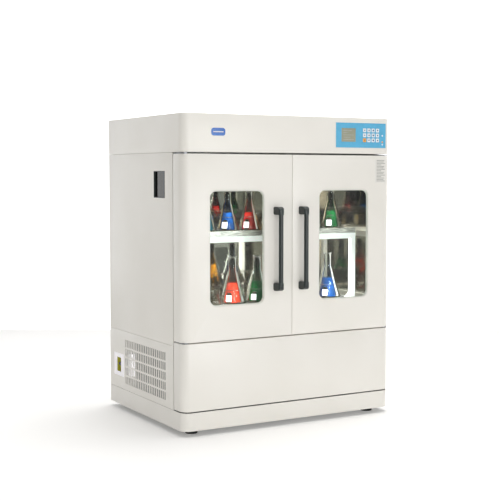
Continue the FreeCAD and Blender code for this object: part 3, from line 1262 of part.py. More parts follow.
def make_compressor():
    """A welded can with a domed lid and a seam, on a plate with four rubber feet."""
    x = COMPRESSOR_X
    y = COMPRESSOR_Y
    foot_top = PAN_TOP + COMPRESSOR_FOOT
    can_base = foot_top + COMPRESSOR_PLATE
    can_top = can_base + COMPRESSOR_HEIGHT
    half_x = COMPRESSOR_PLATE_HALF_X
    half_y = COMPRESSOR_PLATE_HALF_Y
    seam_z = can_base + COMPRESSOR_HEIGHT / 2
    dome = Part.makeSphere(COMPRESSOR_DOME_RADIUS, FreeCAD.Vector(x, y, can_top - COMPRESSOR_PLATE_HALF_Y))
    shapes = [
        rod(x, y, can_base, can_top, COMPRESSOR_RADIUS),
        dome.common(rod(x, y, can_top - COMPRESSOR_PLATE, can_top + COMPRESSOR_RADIUS, COMPRESSOR_RADIUS)),
        rod(x, y, seam_z, seam_z + COMPRESSOR_PLATE, COMPRESSOR_RADIUS + COMPRESSOR_SEAM),
        box(x - half_x, x + half_x, y - half_y, y + half_y, foot_top, can_base),
    ]
    inset = COMPRESSOR_FOOT + COMPRESSOR_SEAM
    for dx in (inset - half_x, half_x - inset):
        for dy in (inset - half_y, half_y - inset):
            shapes.append(rod(x + dx, y + dy, PAN_TOP, foot_top, COMPRESSOR_FOOT))
    save("compressor", [fuse(shapes)])


def make_feet():
    """Levelling feet: a pad with a chamfered rim, a hexagon to turn it by and a threaded stud."""
    for name, (x, y) in foot_places().items():
        pad = rod(x, y, 0.0, FOOT_PAD, FOOT_RADIUS)
        rim = [edge for edge in pad.Edges if edge.BoundBox.ZMin > FOOT_PAD - 0.01]
        corners = []
        for side in range(7):
            angle = side * math.pi / 3
            corners.append(FreeCAD.Vector(x + FOOT_NUT_RADIUS * math.cos(angle),
                                          y + FOOT_NUT_RADIUS * math.sin(angle), FOOT_PAD))
        nut = Part.Face(Part.makePolygon(corners)).extrude(FreeCAD.Vector(0, 0, FOOT_NUT_HEIGHT))
        stud = rod(x, y, FOOT_PAD, FOOT_PAD + FOOT_STUD_LENGTH, FOOT_STUD_RADIUS)
        save("levelling_foot_" + name, [fuse([pad.makeChamfer(FOOT_EDGE, rim), nut, stud])])


make_plinth()
make_lower_front_panel()
make_top_cap()
make_side_panels()
make_rear_panels()
make_panel_screws()
make_base_frame()
make_bearing_housings()
make_front_frame()
make_chamber_liner()
make_air_duct_panel()
make_chamber_lamp()
make_side_window()
make_doors()
make_hinge_brackets()
make_cranks()
make_motor()
make_belt()
make_platform_frame()
make_platform_decks()
make_clamps()
make_keypad()
make_breaker()
make_fans()
save("finned_coils", [condenser(), evaporator()])
make_compressor()
make_feet()
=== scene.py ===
import json
import math

import bmesh
import bpy
from bpy.props import FloatProperty, FloatVectorProperty, IntProperty, PointerProperty
from mathutils import Matrix, Vector


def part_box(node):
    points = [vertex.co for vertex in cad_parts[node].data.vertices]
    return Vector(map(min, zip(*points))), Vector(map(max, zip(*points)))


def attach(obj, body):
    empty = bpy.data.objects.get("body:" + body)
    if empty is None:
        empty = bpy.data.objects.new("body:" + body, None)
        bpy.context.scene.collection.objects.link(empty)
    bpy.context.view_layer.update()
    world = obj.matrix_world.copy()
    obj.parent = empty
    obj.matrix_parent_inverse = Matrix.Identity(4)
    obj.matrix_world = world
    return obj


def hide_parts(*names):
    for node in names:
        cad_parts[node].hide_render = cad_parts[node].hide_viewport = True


bl_info = {
    "name": "Shaking Incubator Looks",
    "version": (1, 0, 0),
    "blender": (4, 5, 0),
    "location": "3D View > Sidebar > Incubator",
    "description": "Finishes, flasks and fittings of a two-door shaking incubator, built round its frame",
    "category": "Object",
}

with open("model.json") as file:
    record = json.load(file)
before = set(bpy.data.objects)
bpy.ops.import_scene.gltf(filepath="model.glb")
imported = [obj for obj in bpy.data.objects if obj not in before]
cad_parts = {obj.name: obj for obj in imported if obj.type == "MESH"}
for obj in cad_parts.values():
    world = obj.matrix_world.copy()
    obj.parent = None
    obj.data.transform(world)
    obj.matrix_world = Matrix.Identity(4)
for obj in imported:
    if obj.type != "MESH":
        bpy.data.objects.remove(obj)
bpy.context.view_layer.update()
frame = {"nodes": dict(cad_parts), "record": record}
NODES = frame["nodes"]
SIDES = ("left", "right")
MM = 0.001
WELD = 0.005 * MM
SHARP_ANGLE = math.radians(35)


# ---- colours and materials -----------------------------------------------------------------
def linear(code):
    """A linear colour with alpha from an sRGB hex code such as "ECE9E2"."""
    channels = [int(code[i:i + 2], 16) / 255 for i in (0, 2, 4)]
    return tuple(c / 12.92 if c <= 0.04045 else ((c + 0.055) / 1.055) ** 2.4 for c in channels) + (1.0,)


def add_node(tree, kind, links=None, **settings):
    """Add a node. settings are its properties or, by name with underscores, its sockets; links maps a
    socket's name to the output it takes."""
    node = tree.nodes.new(kind)
    for name, value in settings.items():
        socket = name.replace("_", " ")
        if hasattr(node, name):
            setattr(node, name, value)
        else:
            node.inputs[socket].default_value = value
    for name, output in (links or {}).items():
        tree.links.new(output, node.inputs[name])
    return node


def new_material(name, colour, **settings):
    """A material with one Principled shader, set from plain values. Returns it with its tree and shader."""
    material = bpy.data.materials.new(name)
    material.use_nodes = True
    tree = material.node_tree
    shader = tree.nodes["Principled BSDF"]
    shader.inputs["Base Color"].default_value = colour
    for socket, value in settings.items():
        shader.inputs[socket.replace("_", " ")].default_value = value
    material.diffuse_color = colour
    return material, tree, shader


def object_place(tree, scale=(1.0, 1.0, 1.0)):
    """Object coordinates, stretched so that a pattern can run along one direction."""
    place = add_node(tree, "ShaderNodeTexCoord")
    mapping = add_node(tree, "ShaderNodeMapping", {"Vector": place.outputs["Object"]})
    mapping.inputs["Scale"].default_value = scale
    return mapping.outputs["Vector"]


def noise(tree, grain_mm, detail=2.0, stretch=(1.0, 1.0, 1.0)):
    """Noise whose grains are about grain_mm across."""
    texture = add_node(tree, "ShaderNodeTexNoise", {"Vector": object_place(tree, stretch)})
    texture.inputs["Scale"].default_value = 1.0 / (grain_mm * MM)
    texture.inputs["Detail"].default_value = detail
    return texture.outputs["Fac"]


def spread(tree, value, low, high, low_in=0.3, high_in=0.7):
    """Turn a 0 to 1 value into one between low and high."""
    ranged = add_node(tree, "ShaderNodeMapRange", {"Value": value})
    for name, number in (("From Min", low_in), ("From Max", high_in), ("To Min", low), ("To Max", high)):
        ranged.inputs[name].default_value = number
    return ranged.outputs["Result"]


def two_tone(tree, value, dark, light):
    mix = add_node(tree, "ShaderNodeMix", {"Factor": value}, data_type="RGBA")
    mix.inputs["A"].default_value = dark
    mix.inputs["B"].default_value = light
    return mix.outputs["Result"]


def bump(tree, shader, height, depth_mm, strength):
    node = add_node(tree, "ShaderNodeBump", {"Height": height})
    node.inputs["Distance"].default_value = depth_mm * MM
    node.inputs["Strength"].default_value = strength
    tree.links.new(node.outputs["Normal"], shader.inputs["Normal"])


def powder_coat(name, code, shade, rough=0.4, peel_mm=2.6, glow=0.0):
    """Oven-baked powder coat on sheet steel: a satin skin with a faint orange peel. glow is painted light,
    an emission though the coat is no lamp, which lifts a coat that stands in shade."""
    material, tree, shader = new_material(name, linear(code), Coat_Weight=0.12, Coat_Roughness=0.28,
                                          Emission_Color=linear(code), Emission_Strength=glow)
    drift = noise(tree, 260.0, 1.0)
    tree.links.new(two_tone(tree, spread(tree, drift, 0.0, 1.0), linear(shade), linear(code)),
                   shader.inputs["Base Color"])
    tree.links.new(spread(tree, noise(tree, 40.0), rough - 0.05, rough + 0.06), shader.inputs["Roughness"])
    bump(tree, shader, noise(tree, peel_mm, 1.0), 0.05, 0.12)
    return material


def brushed_steel(name, code, rough, stretch, streak_mm=2.0, metal=1.0):
    """Stainless sheet with a brushed finish: long fine streaks pull highlights across the grain."""
    material, tree, shader = new_material(name, linear(code), Metallic=metal)
    streaks = noise(tree, streak_mm, 3.0, stretch)
    tree.links.new(spread(tree, streaks, rough - 0.07, rough + 0.1), shader.inputs["Roughness"])
    lighter = tuple(min(1.0, c * 1.12) for c in linear(code)[:3]) + (1.0,)
    darker = tuple(c * 0.86 for c in linear(code)[:3]) + (1.0,)
    tree.links.new(two_tone(tree, spread(tree, streaks, 0.0, 1.0), darker, lighter),
                   shader.inputs["Base Color"])
    bump(tree, shader, streaks, 0.03, 0.1)
    return material


def mirror_polish(name, code, rough):
    """Stainless sheet polished to a mirror: clear reflections, broken only by faint rolling waviness."""
    material, tree, shader = new_material(name, linear(code), Metallic=1.0)
    tree.links.new(spread(tree, noise(tree, 60.0), rough * 0.7, rough * 1.5), shader.inputs["Roughness"])
    darker = tuple(c * 0.9 for c in linear(code)[:3]) + (1.0,)
    tree.links.new(two_tone(tree, spread(tree, noise(tree, 180.0), 0.0, 1.0), darker, linear(code)),
                   shader.inputs["Base Color"])
    bump(tree, shader, noise(tree, 120.0, 1.0), 0.25, 0.06)
    return material


def moulded(name, code, rough, grain_mm, depth_mm, lift=1.25, **settings):
    """Injection-moulded plastic or rubber: an even fine spark-eroded grain that breaks up the highlight."""
    material, tree, shader = new_material(name, linear(code), **settings)
    grain = noise(tree, grain_mm, 2.0)
    lifted = tuple(min(1.0, c * lift) for c in linear(code)[:3]) + (1.0,)
    tree.links.new(two_tone(tree, spread(tree, noise(tree, grain_mm * 18), 0.0, 1.0), linear(code), lifted),
                   shader.inputs["Base Color"])
    tree.links.new(spread(tree, grain, rough - 0.06, rough + 0.08), shader.inputs["Roughness"])
    bump(tree, shader, grain, depth_mm, 0.25)
    return material


def clear_sheet(name, tint, gloss, mirror_share):
    """Float glass: light passes straight through its flat faces and a Fresnel share is mirrored."""
    material = bpy.data.materials.new(name)
    material.use_nodes = True
    tree = material.node_tree
    tree.nodes.remove(tree.nodes["Principled BSDF"])
    output = tree.nodes["Material Output"]
    through = add_node(tree, "ShaderNodeBsdfTransparent", Color=linear(tint))
    mirror = add_node(tree, "ShaderNodeBsdfGlossy", Color=linear("FFFFFF"), Roughness=gloss)
    fresnel = add_node(tree, "ShaderNodeFresnel", IOR=1.45)
    share = add_node(tree, "ShaderNodeMath", {0: fresnel.outputs["Fac"]}, operation="MULTIPLY")
    share.inputs[1].default_value = mirror_share
    mix = add_node(tree, "ShaderNodeMixShader", {"Fac": share.outputs["Value"]})
    tree.links.new(through.outputs["BSDF"], mix.inputs[1])
    tree.links.new(mirror.outputs["BSDF"], mix.inputs[2])
    tree.links.new(mix.outputs["Shader"], output.inputs["Surface"])
    material.diffuse_color = linear(tint)
    return material


def liquid(name, code, deep):
    """Dyed water: saturated and glossy, with a painted glow, an emission though water is no lamp, that keeps
    its colour in shade.
    """
    material, tree, shader = new_material(name, linear(code), Roughness=0.12, IOR=1.33,
                                          Transmission_Weight=0.1, Emission_Color=linear(code),
                                          Emission_Strength=0.2)
    tree.links.new(two_tone(tree, spread(tree, noise(tree, 38.0, 1.0), 0.0, 1.0), linear(deep), linear(code)),
                   shader.inputs["Base Color"])
    return material


MATERIALS = {}


def make_materials():
    made = MATERIALS
    made["casing"] = powder_coat("powder_coat_warm_white", "F0EDE6", "ECE9E1")
    # The pure white coat of the platform frame glows at 0.4: painted light that lifts the frame in the shaded
    # chamber.
    made["white"] = powder_coat("powder_coat_pure_white_painted_glow", "FAFAF8", "F4F5F5", 0.32, 2.0, 0.4)
    made["frame"] = powder_coat("primer_grey", "8C8E8C", "7E807E", 0.5)
    made["liner"] = brushed_steel("brushed_stainless_sheet", "9A9A94", 0.3, (0.05, 0.05, 1.0))
    made["mirror"] = mirror_polish("mirror_polished_stainless", "D6D0C4", 0.04)
    # Half metallic stainless with a pale base colour: its paleness is partly a painted reflection of the
    # white room.
    made["deck"] = brushed_steel("brushed_stainless_deck_painted_reflection", "E2DFD8", 0.24, (0.04, 1.0, 1.0), metal=0.55)
    made["spring"] = brushed_steel("polished_spring_steel", "C8C6BE", 0.2, (1.0, 1.0, 0.1), 1.5)
    # Steel in a dark olive grey: its darkness is partly painted shade of the deep chamber behind the doors.
    made["clamp"] = brushed_steel("rolled_steel_painted_shade", "8F8A78", 0.24, (1.0, 1.0, 0.1), 1.5)
    made["turned"] = brushed_steel("turned_steel", "84868A", 0.26, (1.0, 1.0, 0.1), 1.2)
    made["aluminium"] = brushed_steel("mill_aluminium", "A6A8AA", 0.36, (0.1, 1.0, 1.0))
    made["handle"] = moulded("glass_filled_nylon_black", "1B2423", 0.38, 0.9, 0.05)
    made["seal"] = moulded("silicone_pale_grey", "E4E2DA", 0.55, 1.4, 0.04, 1.05)
    made["overlay"] = moulded("polyester_overlay_blue", "5DB4DC", 0.34, 1.2, 0.015, 1.08, Coat_Weight=0.25)
    made["key"] = moulded("silicone_key_white", "F2F4F6", 0.42, 0.8, 0.02, 1.0)
    made["key_amber"] = moulded("silicone_key_amber", "F0A53C", 0.42, 0.8, 0.02, 1.1)
    made["legend"] = moulded("printed_ink_blue_grey", "3E5C86", 0.5, 0.8, 0.01)
    made["lcd"] = moulded("lcd_glass_tan", "9EA08C", 0.16, 3.0, 0.004, 1.08, Coat_Weight=0.6,
                          Coat_Roughness=0.06)
    made["motor"] = moulded("stoved_enamel_black", "23262A", 0.42, 1.5, 0.06)
    made["rubber"] = moulded("nitrile_rubber_black", "141414", 0.62, 1.0, 0.06)
    made["toggle"] = moulded("nylon_black", "121212", 0.4, 0.8, 0.04)
    made["olive"] = moulded("abs_olive_yellow", "B4B02C", 0.38, 0.8, 0.03)
    # The breaker plate's emission of 0.12 is a painted glow that keeps it brighter than the shaded side
    # panel.
    made["plate"] = moulded("urea_plastic_white_painted_glow", "FBF8FC", 0.4, 0.9, 0.03, 1.0, Emission_Strength=0.12,
                            Emission_Color=linear("FBF8FC"))
    # White tab card with an emission of 0.55: a painted glow that also stands in for the bright highlight on
    # the clamp finger.
    made["tab"] = moulded("white_tab_card_painted_glow", "FAFAFA", 0.5, 0.9, 0.01, 1.0, Emission_Strength=0.55,
                          Emission_Color=linear("F6F7FA"))
    # Dark tint on the side window pane: its darkness is partly painted shade of the deep window, over a
    # mirrored glass face.
    made["tinted_shade"] = clear_sheet("tinted_glass_painted_shade", "5E6A74", 0.03, 1.0)
    made["case"] = moulded("abs_grey", "9A9C9A", 0.5, 1.0, 0.05)
    made["badge"] = moulded("enamelled_badge_blue", "2A66B8", 0.22, 2.0, 0.01, 1.1, Coat_Weight=0.5)
    made["paper"] = moulded("printed_polyester_label", "E7E5DF", 0.5, 1.5, 0.01, 1.03)
    made["ink"] = moulded("printed_ink_grey", "A2A29C", 0.55, 0.8, 0.01)
    made["glass"] = clear_sheet("float_glass", "FAFCFB", 0.02, 0.45)
    made["flask"] = clear_sheet("borosilicate_glass", "FAFCFB", 0.05, 1.0)
    made["lamp"] = new_material("opal_acrylic_lit", linear("FFF6E4"), Roughness=0.4,
                                Emission_Color=linear("FFF0D8"), Emission_Strength=4.0)[0]
    for name, code, deep in (("blue", "06509A", "043A72"), ("red", "C42418", "94120C"),
                             ("orange", "CC3A1A", "A0240E"), ("green", "086E32", "035022"),
                             ("yellow", "E8A80C", "C88404"), ("teal", "0B6478", "064452")):
        made[name] = liquid("dyed_water_" + name, code, deep)


def paint(thing, *names):
    """Give an object these materials, first slot first."""
    thing.data.materials.clear()
    for name in names:
        thing.data.materials.append(MATERIALS[name])


# ---- mesh helpers --------------------------------------------------------------------------
def finish_mesh(name, mesh, body, slot, *materials):
    """Turn a bmesh into a named piece that rides on a body."""
    data = bpy.data.meshes.new(name)
    for material in materials:
        data.materials.append(MATERIALS[material])
    mesh.to_mesh(data)
    mesh.free()
    for polygon in data.polygons:
        polygon.use_smooth = True
    data.set_sharp_from_angle(angle=SHARP_ANGLE)
    piece = bpy.data.objects.new(name, data)
    bpy.context.scene.collection.objects.link(piece)
    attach(piece, body)
    return piece


def add_block(mesh, place, size, material=0):
    """Add a block of this size, turned and set down by place, and return its edges."""
    made = bmesh.ops.create_cube(mesh, size=1.0, matrix=place @ Matrix.Diagonal((*size, 1.0)))
    for face in {face for vert in made["verts"] for face in vert.link_faces}:
        face.material_index = material
    return list({edge for vert in made["verts"] for edge in vert.link_edges})


def add_box(mesh, low, high, material=0):
    """Add an upright box between two corners and return its edges."""
    middle = (Vector(low) + Vector(high)) / 2
    return add_block(mesh, Matrix.Translation(middle), Vector(high) - Vector(low), material)


def edges_along_y(edges):
    """The edges that run from front to back."""
    return [edge for edge in edges if abs(edge.verts[0].co.y - edge.verts[1].co.y) > 0.01 * MM]


def round_edges(mesh, edges, radius, segments=2):
    bmesh.ops.bevel(mesh, geom=edges, offset=radius, offset_type="OFFSET", segments=segments, profile=0.5,
                    affect="EDGES", clamp_overlap=True, material=-1)


def add_disc(mesh, centre, radius, depth, sides, material):
    """Add a disc, or a many-sided plate, that faces the front."""
    place = Matrix.Translation(centre) @ Matrix.Rotation(math.pi / 2, 4, "X")
    made = bmesh.ops.create_cone(mesh, cap_ends=True, segments=sides, radius1=radius, radius2=radius,
                                 depth=depth, matrix=place)
    for vert in made["verts"]:
        for face in vert.link_faces:
            face.material_index = material
    return made["verts"]


def spin(mesh, verts, edges, centre, steps):
    """Sweep an outline all the way round the upright line through centre."""
    bmesh.ops.spin(mesh, geom=verts + edges, cent=centre, axis=(0, 0, 1), angle=2 * math.pi, steps=steps,
                   use_merge=True)


def add_ring(mesh, centre, ring_radius, wire_radius, steps, sides):
    """Add a wire ring lying flat round centre."""
    place = Matrix.Translation(centre + Vector((ring_radius, 0, 0))) @ Matrix.Rotation(math.pi / 2, 4, "X")
    verts = bmesh.ops.create_circle(mesh, segments=sides, radius=wire_radius, matrix=place)["verts"]
    spin(mesh, verts, list({edge for vert in verts for edge in vert.link_edges}), centre, steps)


def spin_profile(mesh, centre, profile, steps):
    """Turn a profile of (radius, height) points about the upright line through centre."""
    verts = [mesh.verts.new(centre + Vector((radius, 0, height))) for radius, height in profile]
    spin(mesh, verts, [mesh.edges.new(pair) for pair in zip(verts, verts[1:])], centre, steps)


def tidy_shell(mesh):
    """Weld a shell's seams, drop its degenerate faces and turn them all outwards."""
    bmesh.ops.remove_doubles(mesh, verts=mesh.verts, dist=0.01 * MM)
    bmesh.ops.dissolve_degenerate(mesh, edges=mesh.edges, dist=WELD)
    bmesh.ops.recalc_face_normals(mesh, faces=mesh.faces)


def node_mesh(node, merge_flats=True):
    """A mesh like a frame node's, its seams welded and, if asked, its flat faces merged."""
    mesh = bmesh.new()
    mesh.from_mesh(NODES[node].data)
    bmesh.ops.remove_doubles(mesh, verts=mesh.verts, dist=WELD)
    if merge_flats:
        bmesh.ops.dissolve_limit(mesh, angle_limit=math.radians(1.0), verts=mesh.verts, edges=mesh.edges)
    return mesh


def broad(face):
    """Whether a face is wide enough for a rounded edge beside it."""
    narrowest = 4 * MM
    longest = max(edge.calc_length() for edge in face.edges)
    return face.calc_area() / longest > narrowest


def softened(node, name, body, slot, material, radius_mm, segments=2):
    """A copy of a frame node with its long outer edges rounded, as a bent or pressed sheet has them."""
    mesh = node_mesh(node)
    least_turn = math.radians(50)
    chosen = []
    for edge in mesh.edges:
        if len(edge.link_faces) != 2 or not edge.is_convex or edge.calc_face_angle() < least_turn:
            continue
        if all(broad(face) for face in edge.link_faces):
            chosen.append(edge)
    if chosen:
        round_edges(mesh, chosen, radius_mm * MM, segments)
    piece = finish_mesh(name, mesh, body, slot, material)
    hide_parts(node)


# ---- settings a user would change ----------------------------------------------------------
class IncubatorSizes(bpy.types.PropertyGroup):
    edge_radius: FloatProperty(
        name="Edge radius", description="Outer radius of the folded sheet edges, in mm",
        default=1.3, min=0.2, max=1.45)
    handle_edge: FloatProperty(
        name="Handle edge", description="Rounding of the handle blocks, in mm", default=2.0)
    glass_wall: FloatProperty(
        name="Flask wall", description="Wall of the laboratory flasks, in mm", default=2.2)
    fill_share: FloatProperty(
        name="Fill", description="How high the flasks are filled, as a share of their height",
        default=0.44, subtype="FACTOR")
    spring_wire: FloatProperty(
        name="Clamp spring", description="Radius of the wire of the clamp's spring ring, in mm", default=1.3)
    room_light: FloatProperty(
        name="Room light", description="Strength of the surrounding light", default=0.38)
    key_light: FloatProperty(
        name="Key light", description="Power of the soft front light, in watts", default=68.0)
    lamp_light: FloatProperty(
        name="Chamber light", description="Power that sets the lamps inside the cabinet, in watts",
        default=3.6)
    flask_steps: IntProperty(name="Flask steps", description="Faces round each flask", default=40)


class IncubatorColours(bpy.types.PropertyGroup):
    floor: FloatVectorProperty(
        name="Floor", description="Colour of the floor", subtype="COLOR", size=3,
        default=linear("F6F5F3")[:3])
    world: FloatVectorProperty(
        name="Surroundings", description="Colour of the surroundings", subtype="COLOR", size=3,
        default=linear("FFFFFF")[:3])


def sizes():
    return bpy.context.scene.incubator_sizes


# ---- casing and doors ----------------------------------------------------------------------
CASING_NODES = ("plinth", "lower_front_panel", "top_cap", "side_panels", "rear_panels")


class INCUBATOR_OT_casing(bpy.types.Operator):
    """Powder-coated casing with softly rounded folds"""
    bl_idname = "incubator.casing"
    bl_label = "Casing"

    def execute(self, context):
        for node in CASING_NODES:
            softened(node, "visual_" + node, "cabinet", "casing_paint", "casing", sizes().edge_radius)
        return {"FINISHED"}


class INCUBATOR_OT_doors(bpy.types.Operator):
    """Door shells, their glazing rims and panes"""
    bl_idname = "incubator.doors"
    bl_label = "Doors"

    def execute(self, context):
        for side in SIDES:
            body = "door_" + side
            softened(body + "_shell", "visual_" + body + "_shell", body, "casing_paint", "casing",
                     sizes().edge_radius)
            paint(NODES[body + "_liner"], "liner")
            paint(NODES[body + "_panes"], "glass")
            paint(NODES[body + "_seals"], "seal")
        return {"FINISHED"}


class INCUBATOR_OT_handles(bpy.types.Operator):
    """Black pull handles with softened moulded edges"""
    bl_idname = "incubator.handles"
    bl_label = "Handles"

    def execute(self, context):
        for side in SIDES:
            node = "door_%s_handle" % side
            softened(node, "visual_" + node, "door_" + side, "handle_plastic", "handle",
                     sizes().handle_edge, 3)
        return {"FINISHED"}


class INCUBATOR_OT_inside(bpy.types.Operator):
    """Finishes of the frame, chamber, drive and refrigeration pieces"""
    bl_idname = "incubator.inside"
    bl_label = "Inside"

    def execute(self, context):
        finishes = {
            "frame": ("base_frame",),
            "liner": ("front_frame",),
            "mirror": ("chamber_liner", "air_duct_panel"),
            "turned": ("bearing_housings", "hinge_brackets", "main_crank", "support_crank_left",
                       "support_crank_right", "motor_pulley", "panel_screws"),
            "aluminium": ("finned_coils",),
            "motor": ("drive_motor", "fan_motors", "compressor"),
            "rubber": ("drive_belt",) + tuple(n for n in NODES if n.startswith("levelling_foot")),
            "case": ("control_box",),
            "toggle": ("breaker_toggle", "chamber_fan", "condenser_fan"),
            "lamp": ("chamber_lamp",),
            "tinted_shade": ("side_window_panes",),
            "handle": ("side_window_frame",),
            "white": ("platform_frame",),
            "deck": ("platform_decks",),
            "clamp": ("flask_clamps",),
        }
        for material, nodes in finishes.items():
            for node in nodes:
                paint(NODES[node], material)
        return {"FINISHED"}


# ---- controls ------------------------------------------------------------------------------
KEY_COUNT = 12
AMBER_KEY = 8
MARK_SIDES = (3, 4, 16, 4)
DISPLAY_LINES = (0.74, 0.5, 0.74, 0.36, 0.62)
DISPLAY_MARGIN = 0.12
STATUS_LAMPS = ((58.0 * MM, 0), (28.0 * MM, 1), (16.0 * MM, 0))
STATUS_LAMP_INSET = 20.0 * MM
POCKET_REACH = (70 * MM, 30 * MM, 41 * MM)
POCKET_DEPTH = 2 * MM


class INCUBATOR_OT_controls(bpy.types.Operator):
    """Keypad overlay with its keys, display and status lamps, and the plate of the mains breaker"""
    bl_idname = "incubator.controls"
    bl_label = "Controls"

    def execute(self, context):
        paint(NODES["keypad_panel"], "overlay")
        self.display()
        for index in range(KEY_COUNT):
            self.key(index)
        self.lamps()
        self.breaker()
        return {"FINISHED"}

    def breaker(self):
        """White plate, lifted by a painted glow, whose pocket round the toggle is olive."""
        toggle_low, toggle_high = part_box("breaker_toggle")
        middle = (toggle_low + toggle_high) / 2
        reach = Vector(POCKET_REACH)
        mesh = node_mesh("mains_fittings", merge_flats=False)
        for face in mesh.faces:
            centre = face.calc_center_bounds()
            offset = centre - middle
            inside = all(abs(offset[axis]) < reach[axis] for axis in range(3))
            if inside and centre.x > toggle_low.x + POCKET_DEPTH:
                face.material_index = 1
        piece = finish_mesh("visual_mains_fittings", mesh, "cabinet", "switch_plastic", "plate", "olive")
        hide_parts("mains_fittings")

    def display(self):
        """Window with a few dark lines, their lengths as shares of its width."""
        low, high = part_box("display_window")
        mesh = bmesh.new()
        edges = add_box(mesh, low, high)
        round_edges(mesh, edges, 0.6 * MM, 2)
        half_line = 1.1 * MM
        gaps = len(DISPLAY_LINES) + 1
        x = low.x + DISPLAY_MARGIN * (high.x - low.x)
        for row, share in enumerate(DISPLAY_LINES):
            z = low.z + (row + 1) * (high.z - low.z) / gaps
            end = x + share * (high.x - low.x)
            add_box(mesh, (x, low.y - 0.15 * MM, z - half_line), (end, low.y + 0.1 * MM, z + half_line), 1)
        piece = finish_mesh("visual_display", mesh, "cabinet", "display_glass", "lcd", "ink")
        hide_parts("display_window")

    def key(self, index):
        """Key with a rounded face and a simple printed mark."""
        node = "key_%02d" % (index + 1)
        low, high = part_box(node)
        mesh = node_mesh(node)
        face_edges = [e for e in mesh.edges if all(v.co.y < low.y + 0.001 * MM for v in e.verts)]
        round_edges(mesh, face_edges, 0.8 * MM, 3)
        centre = Vector(((low.x + high.x) / 2, low.y, (low.z + high.z) / 2))
        sides = MARK_SIDES[index % len(MARK_SIDES)]
        add_disc(mesh, centre, 4.4 * MM, 0.3 * MM, sides, 1)
        slot, material = ("key_amber", "key_amber") if index == AMBER_KEY else ("key_white", "key")
        piece = finish_mesh("visual_" + node, mesh, node, slot, material, "legend")
        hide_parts(node)

    def lamps(self):
        """Round status lamps up the right end of the overlay."""
        low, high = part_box("keypad_panel")
        mesh = bmesh.new()
        for rise, material in STATUS_LAMPS:
            centre = (high.x - STATUS_LAMP_INSET, low.y, low.z + rise)
            verts = add_disc(mesh, centre, 4.0 * MM, 1.6 * MM, 20, material)
            front = [e for e in {e for v in verts for e in v.link_edges}
                     if all(v.co.y < low.y - 0.5 * MM for v in e.verts)]
            round_edges(mesh, front, 0.6 * MM, 2)
        finish_mesh("visual_status_lamps", mesh, "cabinet", "key_white", "key", "key_amber")


# ---- badge and data label ------------------------------------------------------------------
BADGE_CORNER = (142 * MM, 72 * MM)
BADGE_SIZE = (70 * MM, 34 * MM)
BADGE_BAR = ((10 * MM, 15 * MM), (60 * MM, 19 * MM))
LABEL_EDGE = 95 * MM
LABEL_BOTTOM = 697 * MM
LABEL_SIZE = (68 * MM, 111 * MM)
LABEL_MARGIN = 9 * MM
LABEL_ROWS = 15
LABEL_BAR = 3.2 * MM
LABEL_BAR_SHARES = (0.72, 0.6, 0.66, 0.4)


class INCUBATOR_OT_labels(bpy.types.Operator):
    """Plain badge on the cap and a ruled data label on the right door"""
    bl_idname = "incubator.labels"
    bl_label = "Labels"

    def execute(self, context):
        self.badge()
        self.data_label()
        return {"FINISHED"}

    def badge(self):
        """Round-cornered plate with one pale bar, placed from the cap's lower left corner."""
        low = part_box("top_cap")[0]
        y = low.y
        x0 = low.x + BADGE_CORNER[0]
        z0 = low.z + BADGE_CORNER[1]
        mesh = bmesh.new()
        edges = add_box(mesh, (x0, y - 1.0 * MM, z0), (x0 + BADGE_SIZE[0], y, z0 + BADGE_SIZE[1]))
        round_edges(mesh, edges_along_y(edges), 12 * MM, 6)
        (left, bottom), (right, top) = BADGE_BAR
        add_box(mesh, (x0 + left, y - 1.3 * MM, z0 + bottom), (x0 + right, y - 0.5 * MM, z0 + top), 1)
        finish_mesh("visual_badge", mesh, "cabinet", "overlay_blue", "badge", "paper")

    def data_label(self):
        """Label whose rows of bars stand for its print, placed from the door's lower right corner."""
        low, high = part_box("door_right_shell")
        y = low.y
        x0 = high.x - LABEL_EDGE
        z0 = low.z + LABEL_BOTTOM
        width, height = LABEL_SIZE
        mesh = bmesh.new()
        edges = add_box(mesh, (x0, y - 0.5 * MM, z0), (x0 + width, y, z0 + height))
        round_edges(mesh, edges_along_y(edges), 3 * MM, 3)
        start = x0 + LABEL_MARGIN
        for row in range(LABEL_ROWS):
            z = z0 + height * (row + 1) / (LABEL_ROWS + 1)
            end = start + LABEL_BAR_SHARES[row % len(LABEL_BAR_SHARES)] * width
            add_box(mesh, (start, y - 0.7 * MM, z), (end, y - 0.3 * MM, z + LABEL_BAR), 1)
        finish_mesh("visual_data_label", mesh, "door_right", "casing_paint", "paper", "ink")


# ---- load on the platform ------------------------------------------------------------------
FLASK_COLOURS = {
    "lower": (("", "orange", "green", "", "yellow", "blue"), ("",) * 6, ("",) * 6),
    "upper": (("teal", "blue", "red", "yellow", "", "red", "green"), ("",) * 7, ("",) * 7, ("",) * 7),
}
FLASK_RADIUS = {"lower": 60.0 * MM, "upper": 49.5 * MM}
FLASK_HEIGHT = {"lower": 214.0 * MM, "upper": 184.0 * MM}
NECK_RADIUS = {"lower": 19.0 * MM, "upper": 16.5 * MM}
FOOT_ROUNDING = 0.12
SHOULDER_SHARE = 0.70
LIP = 4.5 * MM
AXIS_RADIUS = 0.1 * MM
LIQUID_GAP = 0.4 * MM
CLAMP_RADIUS = {"lower": 64.0 * MM, "upper": 54.0 * MM}
FINGER_LEAN = math.radians(17.0)
SPRING_RISE = 60.0 * MM
TAB_RISE = 24.0 * MM
TAB_SIZE = (25.0 * MM, 1.6 * MM, 28.0 * MM)


